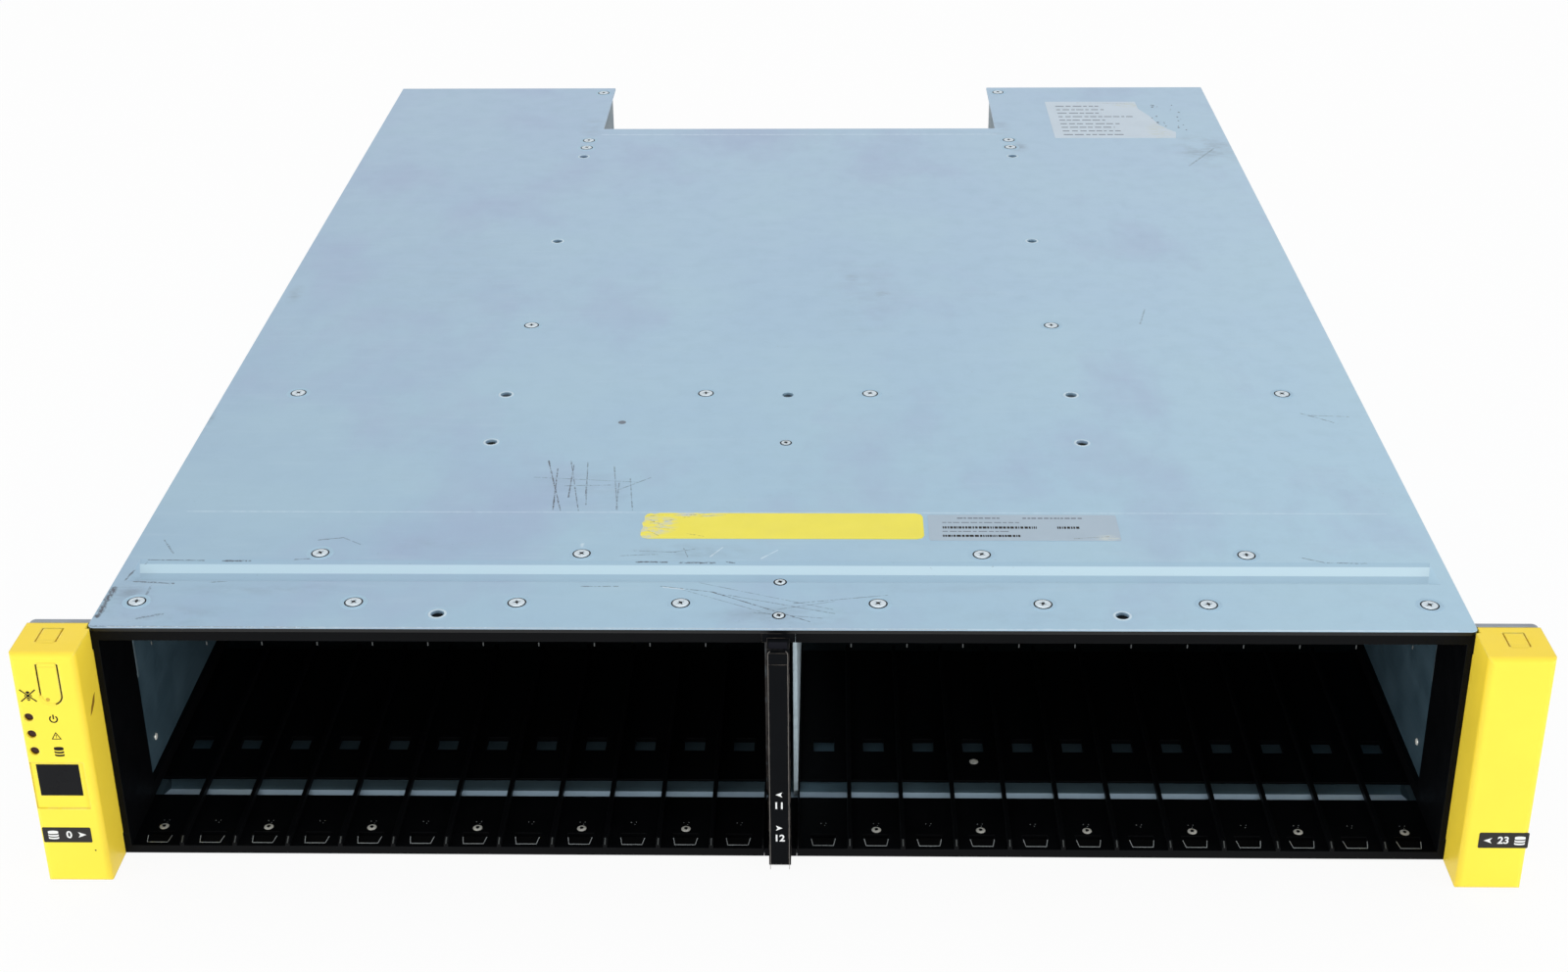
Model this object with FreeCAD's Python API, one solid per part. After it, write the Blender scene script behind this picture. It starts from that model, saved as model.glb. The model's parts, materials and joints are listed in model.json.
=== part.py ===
import FreeCAD, Part
import math
import os
from FreeCAD import Vector

# Disk shelf enclosure: a rack chassis two units high with twenty-four upright drive bays in
# front, a midplane behind them, and two power modules and two interface modules at the rear.
# Sizes are in millimetres. X points right seen from the front, Y points back and Z points up.
# The parts are drawn with Y = 0 at the front edge of the cover, and save() moves them so that
# the origin is the centre of the base.

# ---- Shell ---------------------------------------------------------------------------------
rack_unit = 44.45
unit_count = 2              # height of the shelf in rack units
unit_gap = 1.0              # left free towards the neighbouring units
body_depth = 577.0
shell_sheet = 1.2
shell_bend = 1.6            # outside radius of the folds between floor and walls
top_flange = 16.0           # inward flange of each wall, under the cover
wall_front = 3.5            # the walls start behind the plane of the rack ears
cover_corner = 2.5
overrun = 1.0               # how far a cutting shape runs past the material

# ---- Drive bays ----------------------------------------------------------------------------
bays_per_side = 12
bay_pitch = 17.8
centre_gap = 10.8           # between the innermost bays of the two halves
guide_side = 1.3            # from the last bay's edge to the wall
guide_plate = 1.8
guide_depth = 125.0
guide_rib = 1.4
guide_rib_height = 2.4
rib_lead_in = 2.5
guide_lip = 1.5             # front lip, which covers the sheet's edge
lintel_height = 3.3
lintel_depth = 5.0
side_rail_height = 6.0      # above the guide's plate
side_plate_depth = 30.0
latch_front = 2.0
latch_back = 8.0
latch_front_width = 6.7
latch_back_width = 8.8
window_front = 29.0
window_back = 39.5
window_rib_notch = 0.1      # the ribs are notched this much where they bridge a window
bead_clearance = 0.15       # between the bead and the guide over it
vent_width = 7.5
vent_front = 57.0
vent_back = 65.0

# ---- Stiffening beads, pressed inward in floor and cover ----------------------------------
bead_front = 30.0
bead_crest = 33.0
bead_back = 44.5
bead_rise = 1.8
bead_end = 4.5              # from the side of the body to the end of the bead
bead_taper = 3.0
bead_crest_width = 1.6

# ---- Cover ---------------------------------------------------------------------------------
notch_width = 206.0
notch_depth = 71.7
hem_width = 10.3
hem_side_gap = 1.0
jig_hole_spacing = 220.6
jig_hole_radius = 2.2
jig_hole_front = 9.6
jig_hole_middle = 134.3
deck_hole_front = 342.0
deck_hole_back = 461.0

# ---- Centre post and divider ---------------------------------------------------------------
post_width = 7.2
post_reach = 8.0            # how far the post stands in front of the bays
post_pad = 1.2              # height of the raised pad on the post's front
post_pad_rim = 0.6
post_pad_drop = 7.9         # from the top of the body to the top of the pad
post_drop = 2.9
post_foot_gap = 0.4
post_radius = 2.2
post_web = 4.4
divider_sheet = 1.4
divider_front = 30.0

# ---- Midplane ------------------------------------------------------------------------------
midplane_front = 166.0
midplane_board = 3.2
midplane_flange = 14.0
board_margin = 2.5
drive_plug_width = 5.0
drive_plug_height = 33.0
drive_plug_depth = 8.0
drive_plug_base = 20.0
drive_plug_slot = 1.6
board_slot_width = 4.0
board_slot_margin = 12.0
frame_bar = 8.0
socket_width = 30.0
socket_height = 20.0
socket_depth = 12.0
socket_wall = 2.0
plug_clearance = 0.8
plug_side_gap = 1.0         # between a module's plug and the ends of its socket

# ---- Rack ears -----------------------------------------------------------------------------
ear_sheet = 2.0
ear_reach = 20.8            # from the side of the body to the ear's outer edge
ear_corner = 3.0
ear_leaf_length = 64.0
ear_leaf_margin = 6.0
rack_spacing = 465.1        # between the hole columns of a 19-inch rack
rack_hole_margin = 6.35     # from the end of a rack unit to its nearest hole
rack_slot_width = 7.0
rack_slot_length = 10.5
peg_width = 3.2
peg_from_edge = 4.0
peg_from_slot = 9.0
peg_length = 4.0            # how far a peg stands behind the cap

# ---- Ear caps ------------------------------------------------------------------------------
cap_front = 16.0            # how far the caps stand in front of the cover
cap_wall = 1.8
cap_outer_lap = 0.6         # the ear shows this much beyond the cap
cap_radius = 2.0
fit_gap = 0.3
tab_width = 6.0
tab_length = 7.6
tab_from_front = 8.0
tab_shift = 1.0             # outward from the middle of the cap
tab_rib = 1.2
tongue_width = 6.2
tongue_height = 14.4
tongue_from_inner = 9.4     # middle of the tongue from the cap's inner face
tongue_drop = 3.9           # from the top of the body
slit = 0.5
led_radius = 1.4
led_from_inner = 17.9
led_drop = 23.4
led_pitch = 6.4
led_count = 3
lamp_clearance = 0.1
lamp_inset = 0.7            # from the cap's front to the tip of a lamp
screen_width = 13.8
screen_height = 12.1
screen_drop = 41.7
screen_from_inner = 4.8
screen_surround = 0.6       # depth of the recess round the screen
surround_drop = 4.8
surround_side = 1.8
window_thickness = 1.2
screen_margin = 0.5         # how far the display reaches above and below its window
operator_board = 1.6
operator_board_drop = 11.9
operator_board_below = 4.1  # how far the board reaches below the screen
operator_board_setback = 6.4
standoff_radius = 2.0
standoff_inset = 5.0
mute_switch_width = 6.0
mute_switch_depth = 2.6
mute_stem_width = 3.0
mute_travel = 1.2           # from the tongue's back to the switch's stem

# ---- Rear bays -----------------------------------------------------------------------------
io_bay_width = 209.6
divider_width = 8.0         # hollow divider between an outer bay and the middle bay
bay_entry = 1.6             # from the midplane's frame to a seated module
module_side_gap = 0.6
module_sheet = 1.0
module_board = 1.6
module_plug = 3.0
board_end_gap = 5.0         # from a module's board to what stands behind it
io_face_inset = 2.3         # the interface modules end just under the notch
shelf_sheet = 1.2
shelf_back_gap = 3.0

# ---- Power modules -------------------------------------------------------------------------
fan_depth = 25.0
fan_wall = 2.0              # at the thinnest place of the housing
fan_from_inner = 38.0
fan_roof_gap = 2.9          # from the case's roof to the fan
fan_floor_gap = 14.5        # from the case's floor, above the lever
stator_radius = 12.0
stator_depth = 4.0
stator_struts = 3
strut_width = 3.0
rotor_hub = 14.0
rotor_depth = 15.0
rotor_gap = 0.5             # between the rotor and the stator
rotor_blades = 5
hub_roof = 1.5              # closed front of the hub
blade_thickness = 1.2
blade_gap = 0.9
blade_inset = 1.0           # from the hub's ends to the blades
blade_slant = 38.0
blade_root = 2.0            # how deep a blade starts inside the hub
shaft_radius = 2.0
shaft_clearance = 0.05
shaft_end_gap = 0.5
guard_bars = 7
guard_bar = 1.4
guard_rim = 1.2
inlet_width = 27.0
inlet_height = 19.8
inlet_depth = 18.0
inlet_flange = 2.0
inlet_wall = 1.6
inlet_from_outer = 20.0
inlet_base = 24.0
inlet_pin = 4.0
switch_width = 12.0
switch_height = 19.0
switch_tilt = 7.0
switch_swing = 1.0          # room above and below the rocker in its opening
rocker_rise = 1.5           # how far the rocker's middle stands out
rocker_side = 1.0           # how deep its ends reach
rocker_depth = 6.0
switch_from_inlet = 9.7     # from the inlet to the switch above it

# ---- Levers on the modules -----------------------------------------------------------------
lever_height = 11.0
lever_length = 58.0
lever_thickness = 3.0
lever_standoff = 3.4
knuckle_radius = 2.8
pin_radius = 1.0
lever_ear = 1.6
lever_from_edge = 6.5
lever_base = 3.0
grip_length = 12.0
grip_rise = 4.0
port_width = 18.0
port_height = 10.0
port_depth = 12.0
port_lip = 1.2
port_wall = 0.9
port_pitch = 30.0
port_count = 3
port_drop = 4.0             # from the case's roof to the ports

# ---- Places that follow from the sizes above -----------------------------------------------
body_height = unit_count * rack_unit - unit_gap
rack_hole_rise = unit_count * rack_unit - 2 * rack_hole_margin
first_edge = centre_gap / 2
last_edge = first_edge + bays_per_side * bay_pitch
inner_half = last_edge + guide_side
body_half = inner_half + shell_sheet
floor_top = shell_sheet
cover_under = body_height - shell_sheet
guide_top = floor_top + guide_plate
rib_top = guide_top + guide_rib_height
rail_top = guide_top + side_rail_height - shell_sheet
notch_front = body_depth - notch_depth
ear_front = wall_front
ear_outer = body_half + ear_reach
cap_inner = inner_half + fit_gap - 0.1
cap_outer = ear_outer - cap_outer_lap
cap_back = ear_front - fit_gap
cap_inside = cap_wall - cap_front
frame_front = midplane_front + midplane_board
frame_back = frame_front + shell_sheet + midplane_flange
module_front = frame_back + bay_entry
io_half = io_bay_width / 2
outer_bay = io_half + divider_width
flange_under = cover_under - shell_sheet
shelf_low = body_height / 2 - shelf_sheet / 2
shelf_high = shelf_low + shelf_sheet
post_top = body_height - post_drop
post_pad_top = body_height - post_pad_drop
peg_low = body_height / 2 - rack_hole_rise / 2 + peg_from_slot
peg_high = body_height / 2 + rack_hole_rise / 2 - peg_from_slot
tongue_top = body_height - tongue_drop
led_top = body_height - led_drop
screen_base = body_height - screen_drop - screen_height
operator_board_top = body_height - operator_board_drop
operator_board_base = screen_base - operator_board_below
fan_low = floor_top + fit_gap + module_sheet + fan_floor_gap
fan_high = flange_under - module_side_gap - module_sheet - fan_roof_gap
fan_size = fan_high - fan_low
fan_bore = fan_size / 2 - fan_wall
fan_height = (fan_low + fan_high) / 2
switch_middle = inlet_base + inlet_height + switch_from_inlet + switch_height / 2
operator_board_back = -operator_board_setback - shell_sheet
operator_board_front = operator_board_back - operator_board

right = Vector(1, 0, 0)
back = Vector(0, 1, 0)
up = Vector(0, 0, 1)


# ---- Helpers -------------------------------------------------------------------------------
def block(x0, x1, y0, y1, z0, z1):
    """A box between two limits on each axis."""
    return Part.makeBox(x1 - x0, y1 - y0, z1 - z0, Vector(x0, y0, z0))


def rod(x, y, z, radius, length, direction):
    """A round bar that starts at a point and runs along a direction."""
    return Part.makeCylinder(radius, length, Vector(x, y, z), direction)


def regular_post(x, y, z, radius, sides, sweep):
    """A post with equal flat sides round a line, which runs along Y or along Z."""
    points = []
    for number in range(sides):
        angle = 2 * math.pi * (number + 0.5) / sides
        across = radius * math.cos(angle)
        other = radius * math.sin(angle)
        points.append((x + across, y, z + other) if sweep.y else (x + across, y + other, z))
    return prism(points, sweep)


def prism(points, sweep):
    """A straight-sided solid on a closed outline of corner points."""
    corners = [Vector(*point) for point in points]
    return Part.Face(Part.makePolygon(corners + corners[:1])).extrude(sweep)


def join(shapes):
    """One solid from shapes that touch or overlap."""
    return shapes[0].multiFuse(shapes[1:]).removeSplitter()


def mirrored(shape):
    """The same shape on the other side of the middle plane."""
    return shape.mirror(Vector(0, 0, 0), right)


def flipped(shape):
    """The same shape turned over about mid-height, as the upper guide repeats the lower."""
    return shape.mirror(Vector(0, 0, body_height / 2), up)


def rounded(shape, radius, chosen):
    """Rounds the straight edges that pass a test on their midpoint and direction."""
    edges = []
    for edge in shape.Edges:
        start = edge.Vertexes[0].Point
        end = edge.Vertexes[-1].Point
        if chosen((start + end) / 2, end - start):
            edges.append(edge)
    return shape.makeFillet(radius, edges)


def bay_centre(number):
    """Distance of a bay's middle from the centre of the body, counted outward from 0."""
    return first_edge + (number + 0.5) * bay_pitch


def bay_edge(number):
    return first_edge + number * bay_pitch


def save(name, *shapes):
    """Writes one piece, or a group of equal pieces, with the origin at the base's centre."""
    moved = []
    for shape in shapes:
        copy = shape.copy()
        copy.translate(Vector(0, -body_depth / 2, 0))
        moved.extend(copy.Solids)
    whole = moved[0] if len(moved) == 1 else Part.makeCompound(moved)
    whole.exportStep("parts/" + name + ".step")


def save_pair(name, right_shape):
    """Writes a right-hand piece and its mirror image."""
    save(name + "_right", right_shape)
    save(name + "_left", mirrored(right_shape))


# ---- Shell ---------------------------------------------------------------------------------
def bead_ridge(base):
    """A ridge with a steep front and a long back slope that runs out at both ends."""
    reach = body_half - bead_end
    crest_half = bead_crest_width / 2

    def ring(half_x, y0, y1, z):
        places = [(-half_x, y0), (half_x, y0), (half_x, y1), (-half_x, y1), (-half_x, y0)]
        return Part.makePolygon([Vector(x, y, z) for x, y in places])

    foot = ring(reach, bead_front, bead_back, base)
    crest = ring(reach - bead_taper, bead_crest - crest_half, bead_crest + crest_half, base + bead_rise)
    return Part.makeLoft([foot, crest], True, True)


def beaded(sheet):
    """Presses the bead into a sheet that lies on Z = 0."""
    return sheet.fuse(bead_ridge(shell_sheet)).cut(bead_ridge(0))


def chassis_base():
    walls = block(-body_half, body_half, wall_front, body_depth, 0, cover_under)
    walls = walls.cut(block(-inner_half, inner_half, 0, body_depth + overrun, floor_top, body_height))

    def is_fold(middle, run):
        along = abs(run.y) > 1 and abs(run.x) < 0.1 and abs(run.z) < 0.1
        return along and middle.z < 0.1 and abs(middle.x) > inner_half

    walls = rounded(walls, shell_bend, is_fold)
    apron = block(-inner_half, inner_half, guide_lip, wall_front, 0, floor_top)
    base = beaded(join([walls, apron]))
    flange = block(body_half - top_flange, body_half - shell_sheet / 2, frame_back, body_depth,
                   flange_under, cover_under)
    return join([base, flange, mirrored(flange)])


def cover_open_holes():
    """The jig holes that stay open in the cover, on the right-hand half."""
    jig = jig_hole_spacing / 2
    divider = io_half + divider_width / 2
    midplane_row = frame_front + midplane_flange / 2
    holes = [(jig, row) for row in (jig_hole_front, jig_hole_middle, midplane_row)]
    holes += [(divider, row) for row in (deck_hole_front, deck_hole_back)]
    return holes


def top_cover():
    """Flat sheet with the bead, open jig holes and a hemmed notch."""
    sheet = block(-body_half, body_half, 0, body_depth, 0, shell_sheet)

    def is_front_corner(middle, run):
        return abs(run.z) > 0.1 and abs(run.x) + abs(run.y) < 0.1 and middle.y < 1

    sheet = rounded(sheet, cover_corner, is_front_corner)
    cover = flipped(beaded(sheet))
    notch = block(-notch_width / 2, notch_width / 2, notch_front, body_depth + overrun,
                  0, body_height + overrun)
    hem_half = notch_width / 2 - hem_side_gap
    hem = block(-hem_half, hem_half, notch_front - hem_width, notch_front, flange_under, cover_under)
    through = 2 * shell_sheet + overrun
    cutters = [notch, rod(0, frame_front + midplane_flange / 2, flange_under, jig_hole_radius, through, up)]
    for side in (-1, 1):
        for x, y in cover_open_holes():
            cutters.append(rod(side * x, y, flange_under, jig_hole_radius, through, up))
    return cover.fuse(hem).cut(Part.makeCompound(cutters)).removeSplitter()


# ---- Drive guides --------------------------------------------------------------------------
def guide_rib_at(x0, x1):
    """One low rib between two bays, with a slope that leads a drive carrier in."""
    nose = guide_top + guide_rib_height / 2
    outline = [(x0, 0, guide_top), (x0, 0, nose), (x0, rib_lead_in, rib_top),
               (x0, guide_depth, rib_top), (x0, guide_depth, guide_top)]
    return prism(outline, Vector(x1 - x0, 0, 0))


def drive_guide(front_height, lip_bottom):
    """Right-hand lower guide tray for one half of the bays.

    front_height is the height of the beam along its front edge, and lip_bottom is how low
    its front lip reaches. The upper guide is the same tray turned over.
    """
    inner = first_edge + 0.1
    beam_depth = guide_lip if lip_bottom == 0 else lintel_depth
    rail_inner = last_edge - guide_rib / 2
    pieces = [block(inner, inner_half, guide_lip, guide_depth, floor_top, guide_top)]
    pieces.append(block(inner, inner_half, 0, beam_depth, lip_bottom, front_height))
    pieces.append(guide_rib_at(inner, first_edge + guide_rib / 2))
    for number in range(1, bays_per_side):
        middle = bay_edge(number)
        pieces.append(guide_rib_at(middle - guide_rib / 2, middle + guide_rib / 2))
    pieces.append(block(rail_inner, inner_half, 0, guide_depth, floor_top, rail_top))
    pieces.append(block(inner_half, body_half, 0, wall_front - 0.1, lip_bottom, rail_top))
    tray = join(pieces)

    window_under = guide_top + window_rib_notch
    across = inner_half + overrun
    cutters = [block(0, across, window_front, window_back, 0, window_under)]
    bead_slope = bead_rise / (bead_back - bead_crest)
    relief = floor_top + bead_slope * (bead_back - window_back) + bead_clearance
    cutters.append(block(0, across, window_back - bead_clearance, bead_back + overrun, 0, relief))
    for number in range(bays_per_side):
        middle = bay_centre(number)
        front_half = latch_front_width / 2
        back_half = latch_back_width / 2
        slot = [(middle - front_half, latch_front, -overrun), (middle + front_half, latch_front, -overrun),
                (middle + back_half, latch_back, -overrun), (middle - back_half, latch_back, -overrun)]
        cutters.append(prism(slot, up * (front_height + 2 * overrun)))
        cutters.append(block(middle - vent_width / 2, middle + vent_width / 2, vent_front, vent_back,
                             0, window_under))
    return tray.cut(Part.makeCompound(cutters))


def lower_guide():
    return drive_guide(guide_top, 0)


def upper_guide():
    return flipped(drive_guide(floor_top + lintel_height, floor_top))


def side_plate():
    """Black plate on the inside of the wall, between the ends of the two guides."""
    inner = last_edge - guide_rib / 2
    plate = block(inner, inner_half, 0, side_plate_depth, rail_top, body_height - rail_top)

    def is_back_edge(middle, run):
        return abs(run.z) > 1 and middle.y > 1 and middle.x < inner_half - 0.5

    return rounded(plate, guide_side / 2, is_back_edge)


# ---- Centre post and divider ---------------------------------------------------------------
def centre_post():
    half = post_width / 2
    face = post_pad - post_reach
    stem = block(-half, half, face, guide_lip, post_foot_gap, post_top)

    def is_low_front(middle, run):
        return abs(run.x) > 1 and middle.y < 0 and middle.z < 1

    stem = rounded(stem, post_radius, is_low_front)
    pad_half = half - post_pad_rim
    pad = block(-pad_half, pad_half, -post_reach, face + 1, post_radius + post_pad_rim, post_pad_top)

    web_half = post_web / 2
    web = block(-web_half, web_half, 0, divider_front - fit_gap, floor_top, cover_under)
    foot = block(-first_edge, first_edge, guide_lip, window_front, floor_top, guide_top)
    lip = block(-first_edge, first_edge, 0, guide_lip, 0, guide_top)
    lintel = block(-first_edge, first_edge, 0, lintel_depth, cover_under - lintel_height, cover_under)
    head = block(-first_edge, first_edge, 0, window_front, cover_under - guide_plate, cover_under)
    return join([stem, pad, web, foot, lip, lintel, head])


def centre_divider():
    """Folded sheet between the two halves: two walls joined by a fold at the midplane."""
    back_end = midplane_front - fit_gap
    step = bead_back + bead_clearance
    low = floor_top + bead_rise + bead_clearance
    outline = [(0, divider_front, low), (0, step, low), (0, step, floor_top), (0, back_end, floor_top),
               (0, back_end, cover_under), (0, step, cover_under), (0, step, body_height - low),
               (0, divider_front, body_height - low)]
    solid = prism(outline, Vector(centre_gap, 0, 0))
    solid.translate(Vector(-first_edge, 0, 0))
    inner_x = first_edge - divider_sheet
    hollow = block(-inner_x, inner_x, 0, back_end - divider_sheet, 0, body_height)
    return solid.cut(hollow)


# ---- Midplane ------------------------------------------------------------------------------
def midplane_board_shape():
    half = inner_half - board_margin
    board = block(-half, half, midplane_front, frame_front, floor_top + board_margin,
                  cover_under - board_margin)
    low = floor_top + board_slot_margin
    high = cover_under - board_slot_margin
    slots = []
    for side in (-1, 1):
        for number in range(1, bays_per_side):
            x = side * bay_edge(number)
            slots.append(block(x - board_slot_width / 2, x + board_slot_width / 2, 0, body_depth, low, high))
    return board.cut(Part.makeCompound(slots))


def drive_connectors():
    """One upright plug for each bay, open towards the drive."""
    plugs = []
    base = drive_plug_base
    for side in (-1, 1):
        for number in range(bays_per_side):
            x = side * bay_centre(number)
            front = midplane_front - drive_plug_depth
            body = block(x - drive_plug_width / 2, x + drive_plug_width / 2, front, midplane_front,
                         base, base + drive_plug_height)
            slot = block(x - drive_plug_slot / 2, x + drive_plug_slot / 2, front - overrun,
                         front + drive_plug_depth / 2, base + drive_plug_slot,
                         base + drive_plug_height - drive_plug_slot)
            plugs.append(body.cut(slot))
    return plugs


def frame_windows():
    """Openings in the midplane's frame: two rows, each window three bays wide."""
    windows = []
    half = 1.5 * bay_pitch - frame_bar / 2
    low = floor_top + board_slot_margin
    high = cover_under - board_slot_margin
    for side in (-1, 1):
        for number in (1, 4, 7, 10):
            x = side * bay_centre(number)
            for z0, z1 in ((low, shelf_low - frame_bar / 2), (shelf_high + frame_bar / 2, high)):
                windows.append(block(x - half, x + half, 0, body_depth, z0, z1))
    return windows


def midplane_frame():
    plate = block(-inner_half, inner_half, frame_front, frame_front + shell_sheet, floor_top, cover_under)
    plate = plate.cut(Part.makeCompound(frame_windows()))
    flange_half = body_half - top_flange
    top = block(-flange_half, flange_half, frame_front, frame_back, flange_under, cover_under)
    foot = block(-flange_half, flange_half, frame_front, frame_back, floor_top, floor_top + shell_sheet)
    return join([plate, top, foot])


def socket_places():
    """Middle of each module's socket: power left and right, interface lower and upper."""
    lower_row = (floor_top + board_slot_margin + shelf_low - frame_bar / 2) / 2
    upper_row = body_height - lower_row
    power_x = bay_centre(7)
    io_x = bay_centre(1)
    return [(power_x, upper_row), (-power_x, upper_row), (io_x, lower_row), (io_x, upper_row)]


def midplane_sockets():
    sockets = []
    for x, z in socket_places():
        body = block(x - socket_width / 2, x + socket_width / 2, frame_front, frame_front + socket_depth,
                     z - socket_height / 2, z + socket_height / 2)
        mouth = block(x - socket_width / 2 + socket_wall, x + socket_width / 2 - socket_wall,
                      frame_front + socket_wall, frame_front + socket_depth + overrun,
                      z - module_board / 2 - plug_clearance, z + module_board / 2 + plug_clearance)
        sockets.append(body.cut(mouth))
    return sockets


# ---- Rear bays -----------------------------------------------------------------------------
def rear_divider():
    """Hollow divider: a channel open downwards, closed at its rear end."""
    solid = block(io_half, outer_bay, frame_back + fit_gap, body_depth, floor_top, cover_under)
    hollow = block(io_half + shell_sheet, outer_bay - shell_sheet, 0, body_depth - shell_sheet,
                   0, flange_under)
    return solid.cut(hollow)


def io_shelf():
    rear = notch_front - io_face_inset - shelf_back_gap
    return block(-io_half, io_half, module_front, rear, shelf_low, shelf_high)


# ---- Rack ears and their caps --------------------------------------------------------------
def rack_slot(x, z, y0, y1):
    """A horizontal slot with round ends."""
    radius = rack_slot_width / 2
    offset = rack_slot_length / 2 - radius
    middle = block(x - offset, x + offset, y0, y1, z - radius, z + radius)
    ends = [rod(x + shift, y0, z, radius, y1 - y0, back) for shift in (-offset, offset)]
    return join([middle] + ends)


def peg(z, grow, y0, y1):
    """A square peg of the cap, or with a grown width its hole in the ear."""
    x = ear_outer - peg_from_edge
    half = peg_width / 2 + grow
    return block(x - half, x + half, y0, y1, z - half, z + half)


def rack_ear():
    """Right-hand ear: a flange with two rack slots on a leaf along the wall."""
    flange = block(body_half, ear_outer, ear_front, ear_front + ear_sheet, 0, body_height)

    def is_outer_corner(middle, run):
        return abs(run.y) > 1 and middle.x > ear_outer - 0.1 and abs(run.z) < 0.1

    flange = rounded(flange, ear_corner, is_outer_corner)
    leaf = block(body_half, body_half + ear_sheet, ear_front, ear_front + ear_leaf_length, ear_leaf_margin,
                 body_height - ear_leaf_margin)
    ear = join([flange, leaf])
    cutters = []
    for side in (-1, 1):
        z = body_height / 2 + side * rack_hole_rise / 2
        cutters.append(rack_slot(rack_spacing / 2, z, 0, ear_front + ear_sheet + overrun))
    for z in (peg_low, peg_high):
        cutters.append(peg(z, fit_gap, 0, ear_front + ear_sheet + overrun))
    return ear.cut(Part.makeCompound(cutters))


def cap_shell():
    """Right-hand cap without the cuts of either side: a shell open to the rear."""
    outer = block(cap_inner, cap_outer, -cap_front, cap_back, 0, body_height)

    def is_front_edge(middle, run):
        return middle.y < 0.1 - cap_front

    def is_top_side(middle, run):
        return abs(run.y) > 1 and middle.z > body_height - 0.1

    outer = rounded(outer, cap_radius, is_front_edge)
    inside = block(cap_inner + cap_wall, cap_outer - cap_wall, cap_inside, cap_back + overrun, cap_wall,
                   body_height - cap_wall)
    shell = outer.cut(inside)
    relief_x = body_half + fit_gap
    relief_high = block(0, relief_x, -fit_gap, cap_back + overrun, body_height - rail_top - fit_gap,
                        body_height + overrun)
    relief_low = block(0, relief_x, -fit_gap, cap_back + overrun, -overrun, rail_top + fit_gap)
    shell = shell.cut(Part.makeCompound([relief_high, relief_low]))
    peg_root = cap_inside - cap_wall / 2
    pegs = [peg(z, 0, peg_root, cap_back + peg_length) for z in (peg_low, peg_high)]
    return join([shell] + pegs)


def tab_place():
    """Inner and outer X of the release tab, and its front and back Y."""
    middle = (cap_inner + cap_outer) / 2 + tab_shift
    front = -tab_from_front
    return middle - tab_width / 2, middle + tab_width / 2, front, front + tab_length


def release_tab():
    """Spring tab in the cap's top, cut free on three sides."""
    x0, x1, y0, y1 = tab_place()
    tab = block(x0, x1, y0, y1, body_height - cap_wall, body_height)
    rib = block(x0, x1, y1 - tab_rib, y1, body_height - cap_wall - tab_rib, body_height)
    return join([tab, rib])


def tab_opening():
    x0, x1, y0, y1 = tab_place()
    return block(x0 - slit, x1 + slit, y0 - fit_gap, y1 + slit, body_height - cap_wall - overrun,
                 body_height + overrun)


def tongue_outline(grow, top):
    """Upright tongue with a round lower end, through the cap's front wall."""
    x = -(cap_inner + tongue_from_inner)
    half = tongue_width / 2 + grow
    low = tongue_top - tongue_height + tongue_width / 2
    upright = block(x - half, x + half, -cap_front - overrun, cap_inside + overrun, low, top)
    end = rod(x, -cap_front - overrun, low, half, cap_wall + 2 * overrun, back)
    return join([upright, end])


def mute_button():
    """Spring tongue in the left cap that presses the switch behind it."""
    slab = block(-cap_outer, -cap_inner, -cap_front, cap_inside, 0, body_height)
    return tongue_outline(0, tongue_top).common(slab)


def led_places():
    x = -(cap_inner + led_from_inner)
    return [(x, led_top - led_pitch * number) for number in range(led_count)]


def screen_limits():
    x1 = -(cap_inner + screen_from_inner)
    return x1 - screen_width, x1, screen_base, screen_base + screen_height


def left_cap():
    cap = mirrored(cap_shell())
    x0, x1, z0, z1 = screen_limits()
    cutters = [mirrored(tab_opening()), tongue_outline(slit, tongue_top + fit_gap)]
    for x, z in led_places():
        cutters.append(rod(x, -cap_front - overrun, z, led_radius + lamp_clearance, cap_wall + 2 * overrun,
                           back))
    cutters.append(block(x0, x1, -cap_front - overrun, cap_inside + overrun, z0, z1))
    cutters.append(block(x0 - surround_side, x1 + surround_side, -cap_front - overrun,
                         screen_surround - cap_front, z0 - surround_drop, z1 + surround_side / 2))
    return cap.cut(Part.makeCompound(cutters))


def right_cap():
    return cap_shell().cut(tab_opening())


def screen_window():
    x0, x1, z0, z1 = screen_limits()
    return block(x0, x1, cap_inside - window_thickness, cap_inside, z0, z1)


def operator_board_shape():
    outer = -(cap_outer - cap_wall - fit_gap)
    inner = -(cap_inner + cap_wall + fit_gap)
    board = block(outer, inner, operator_board_front, operator_board_back, operator_board_base,
                  operator_board_top)
    peg_clear = peg_width / 2 + fit_gap
    peg_x = -(ear_outer - peg_from_edge)
    return board.cut(block(outer - overrun, peg_x + peg_clear, -cap_front, 0, peg_high - peg_clear,
                           body_height))


def operator_standoffs():
    x = -(cap_inner + cap_outer) / 2
    posts = []
    run = back * (ear_front - operator_board_back)
    for z in (operator_board_base + standoff_inset, peg_high - standoff_inset):
        posts.append(regular_post(x, operator_board_back, z, standoff_radius, 6, run))
    return posts


def status_leds():
    """Lamps that stand on the board and end inside the holes of the cap."""
    tip = lamp_inset - cap_front
    return [rod(x, tip, z, led_radius, operator_board_front - tip, back) for x, z in led_places()]


def screen_module():
    x0, x1, z0, z1 = screen_limits()
    return block(x0 + fit_gap, x1 - fit_gap, cap_inside + fit_gap, operator_board_front,
                 z0 - screen_margin, z1 + screen_margin)


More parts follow.
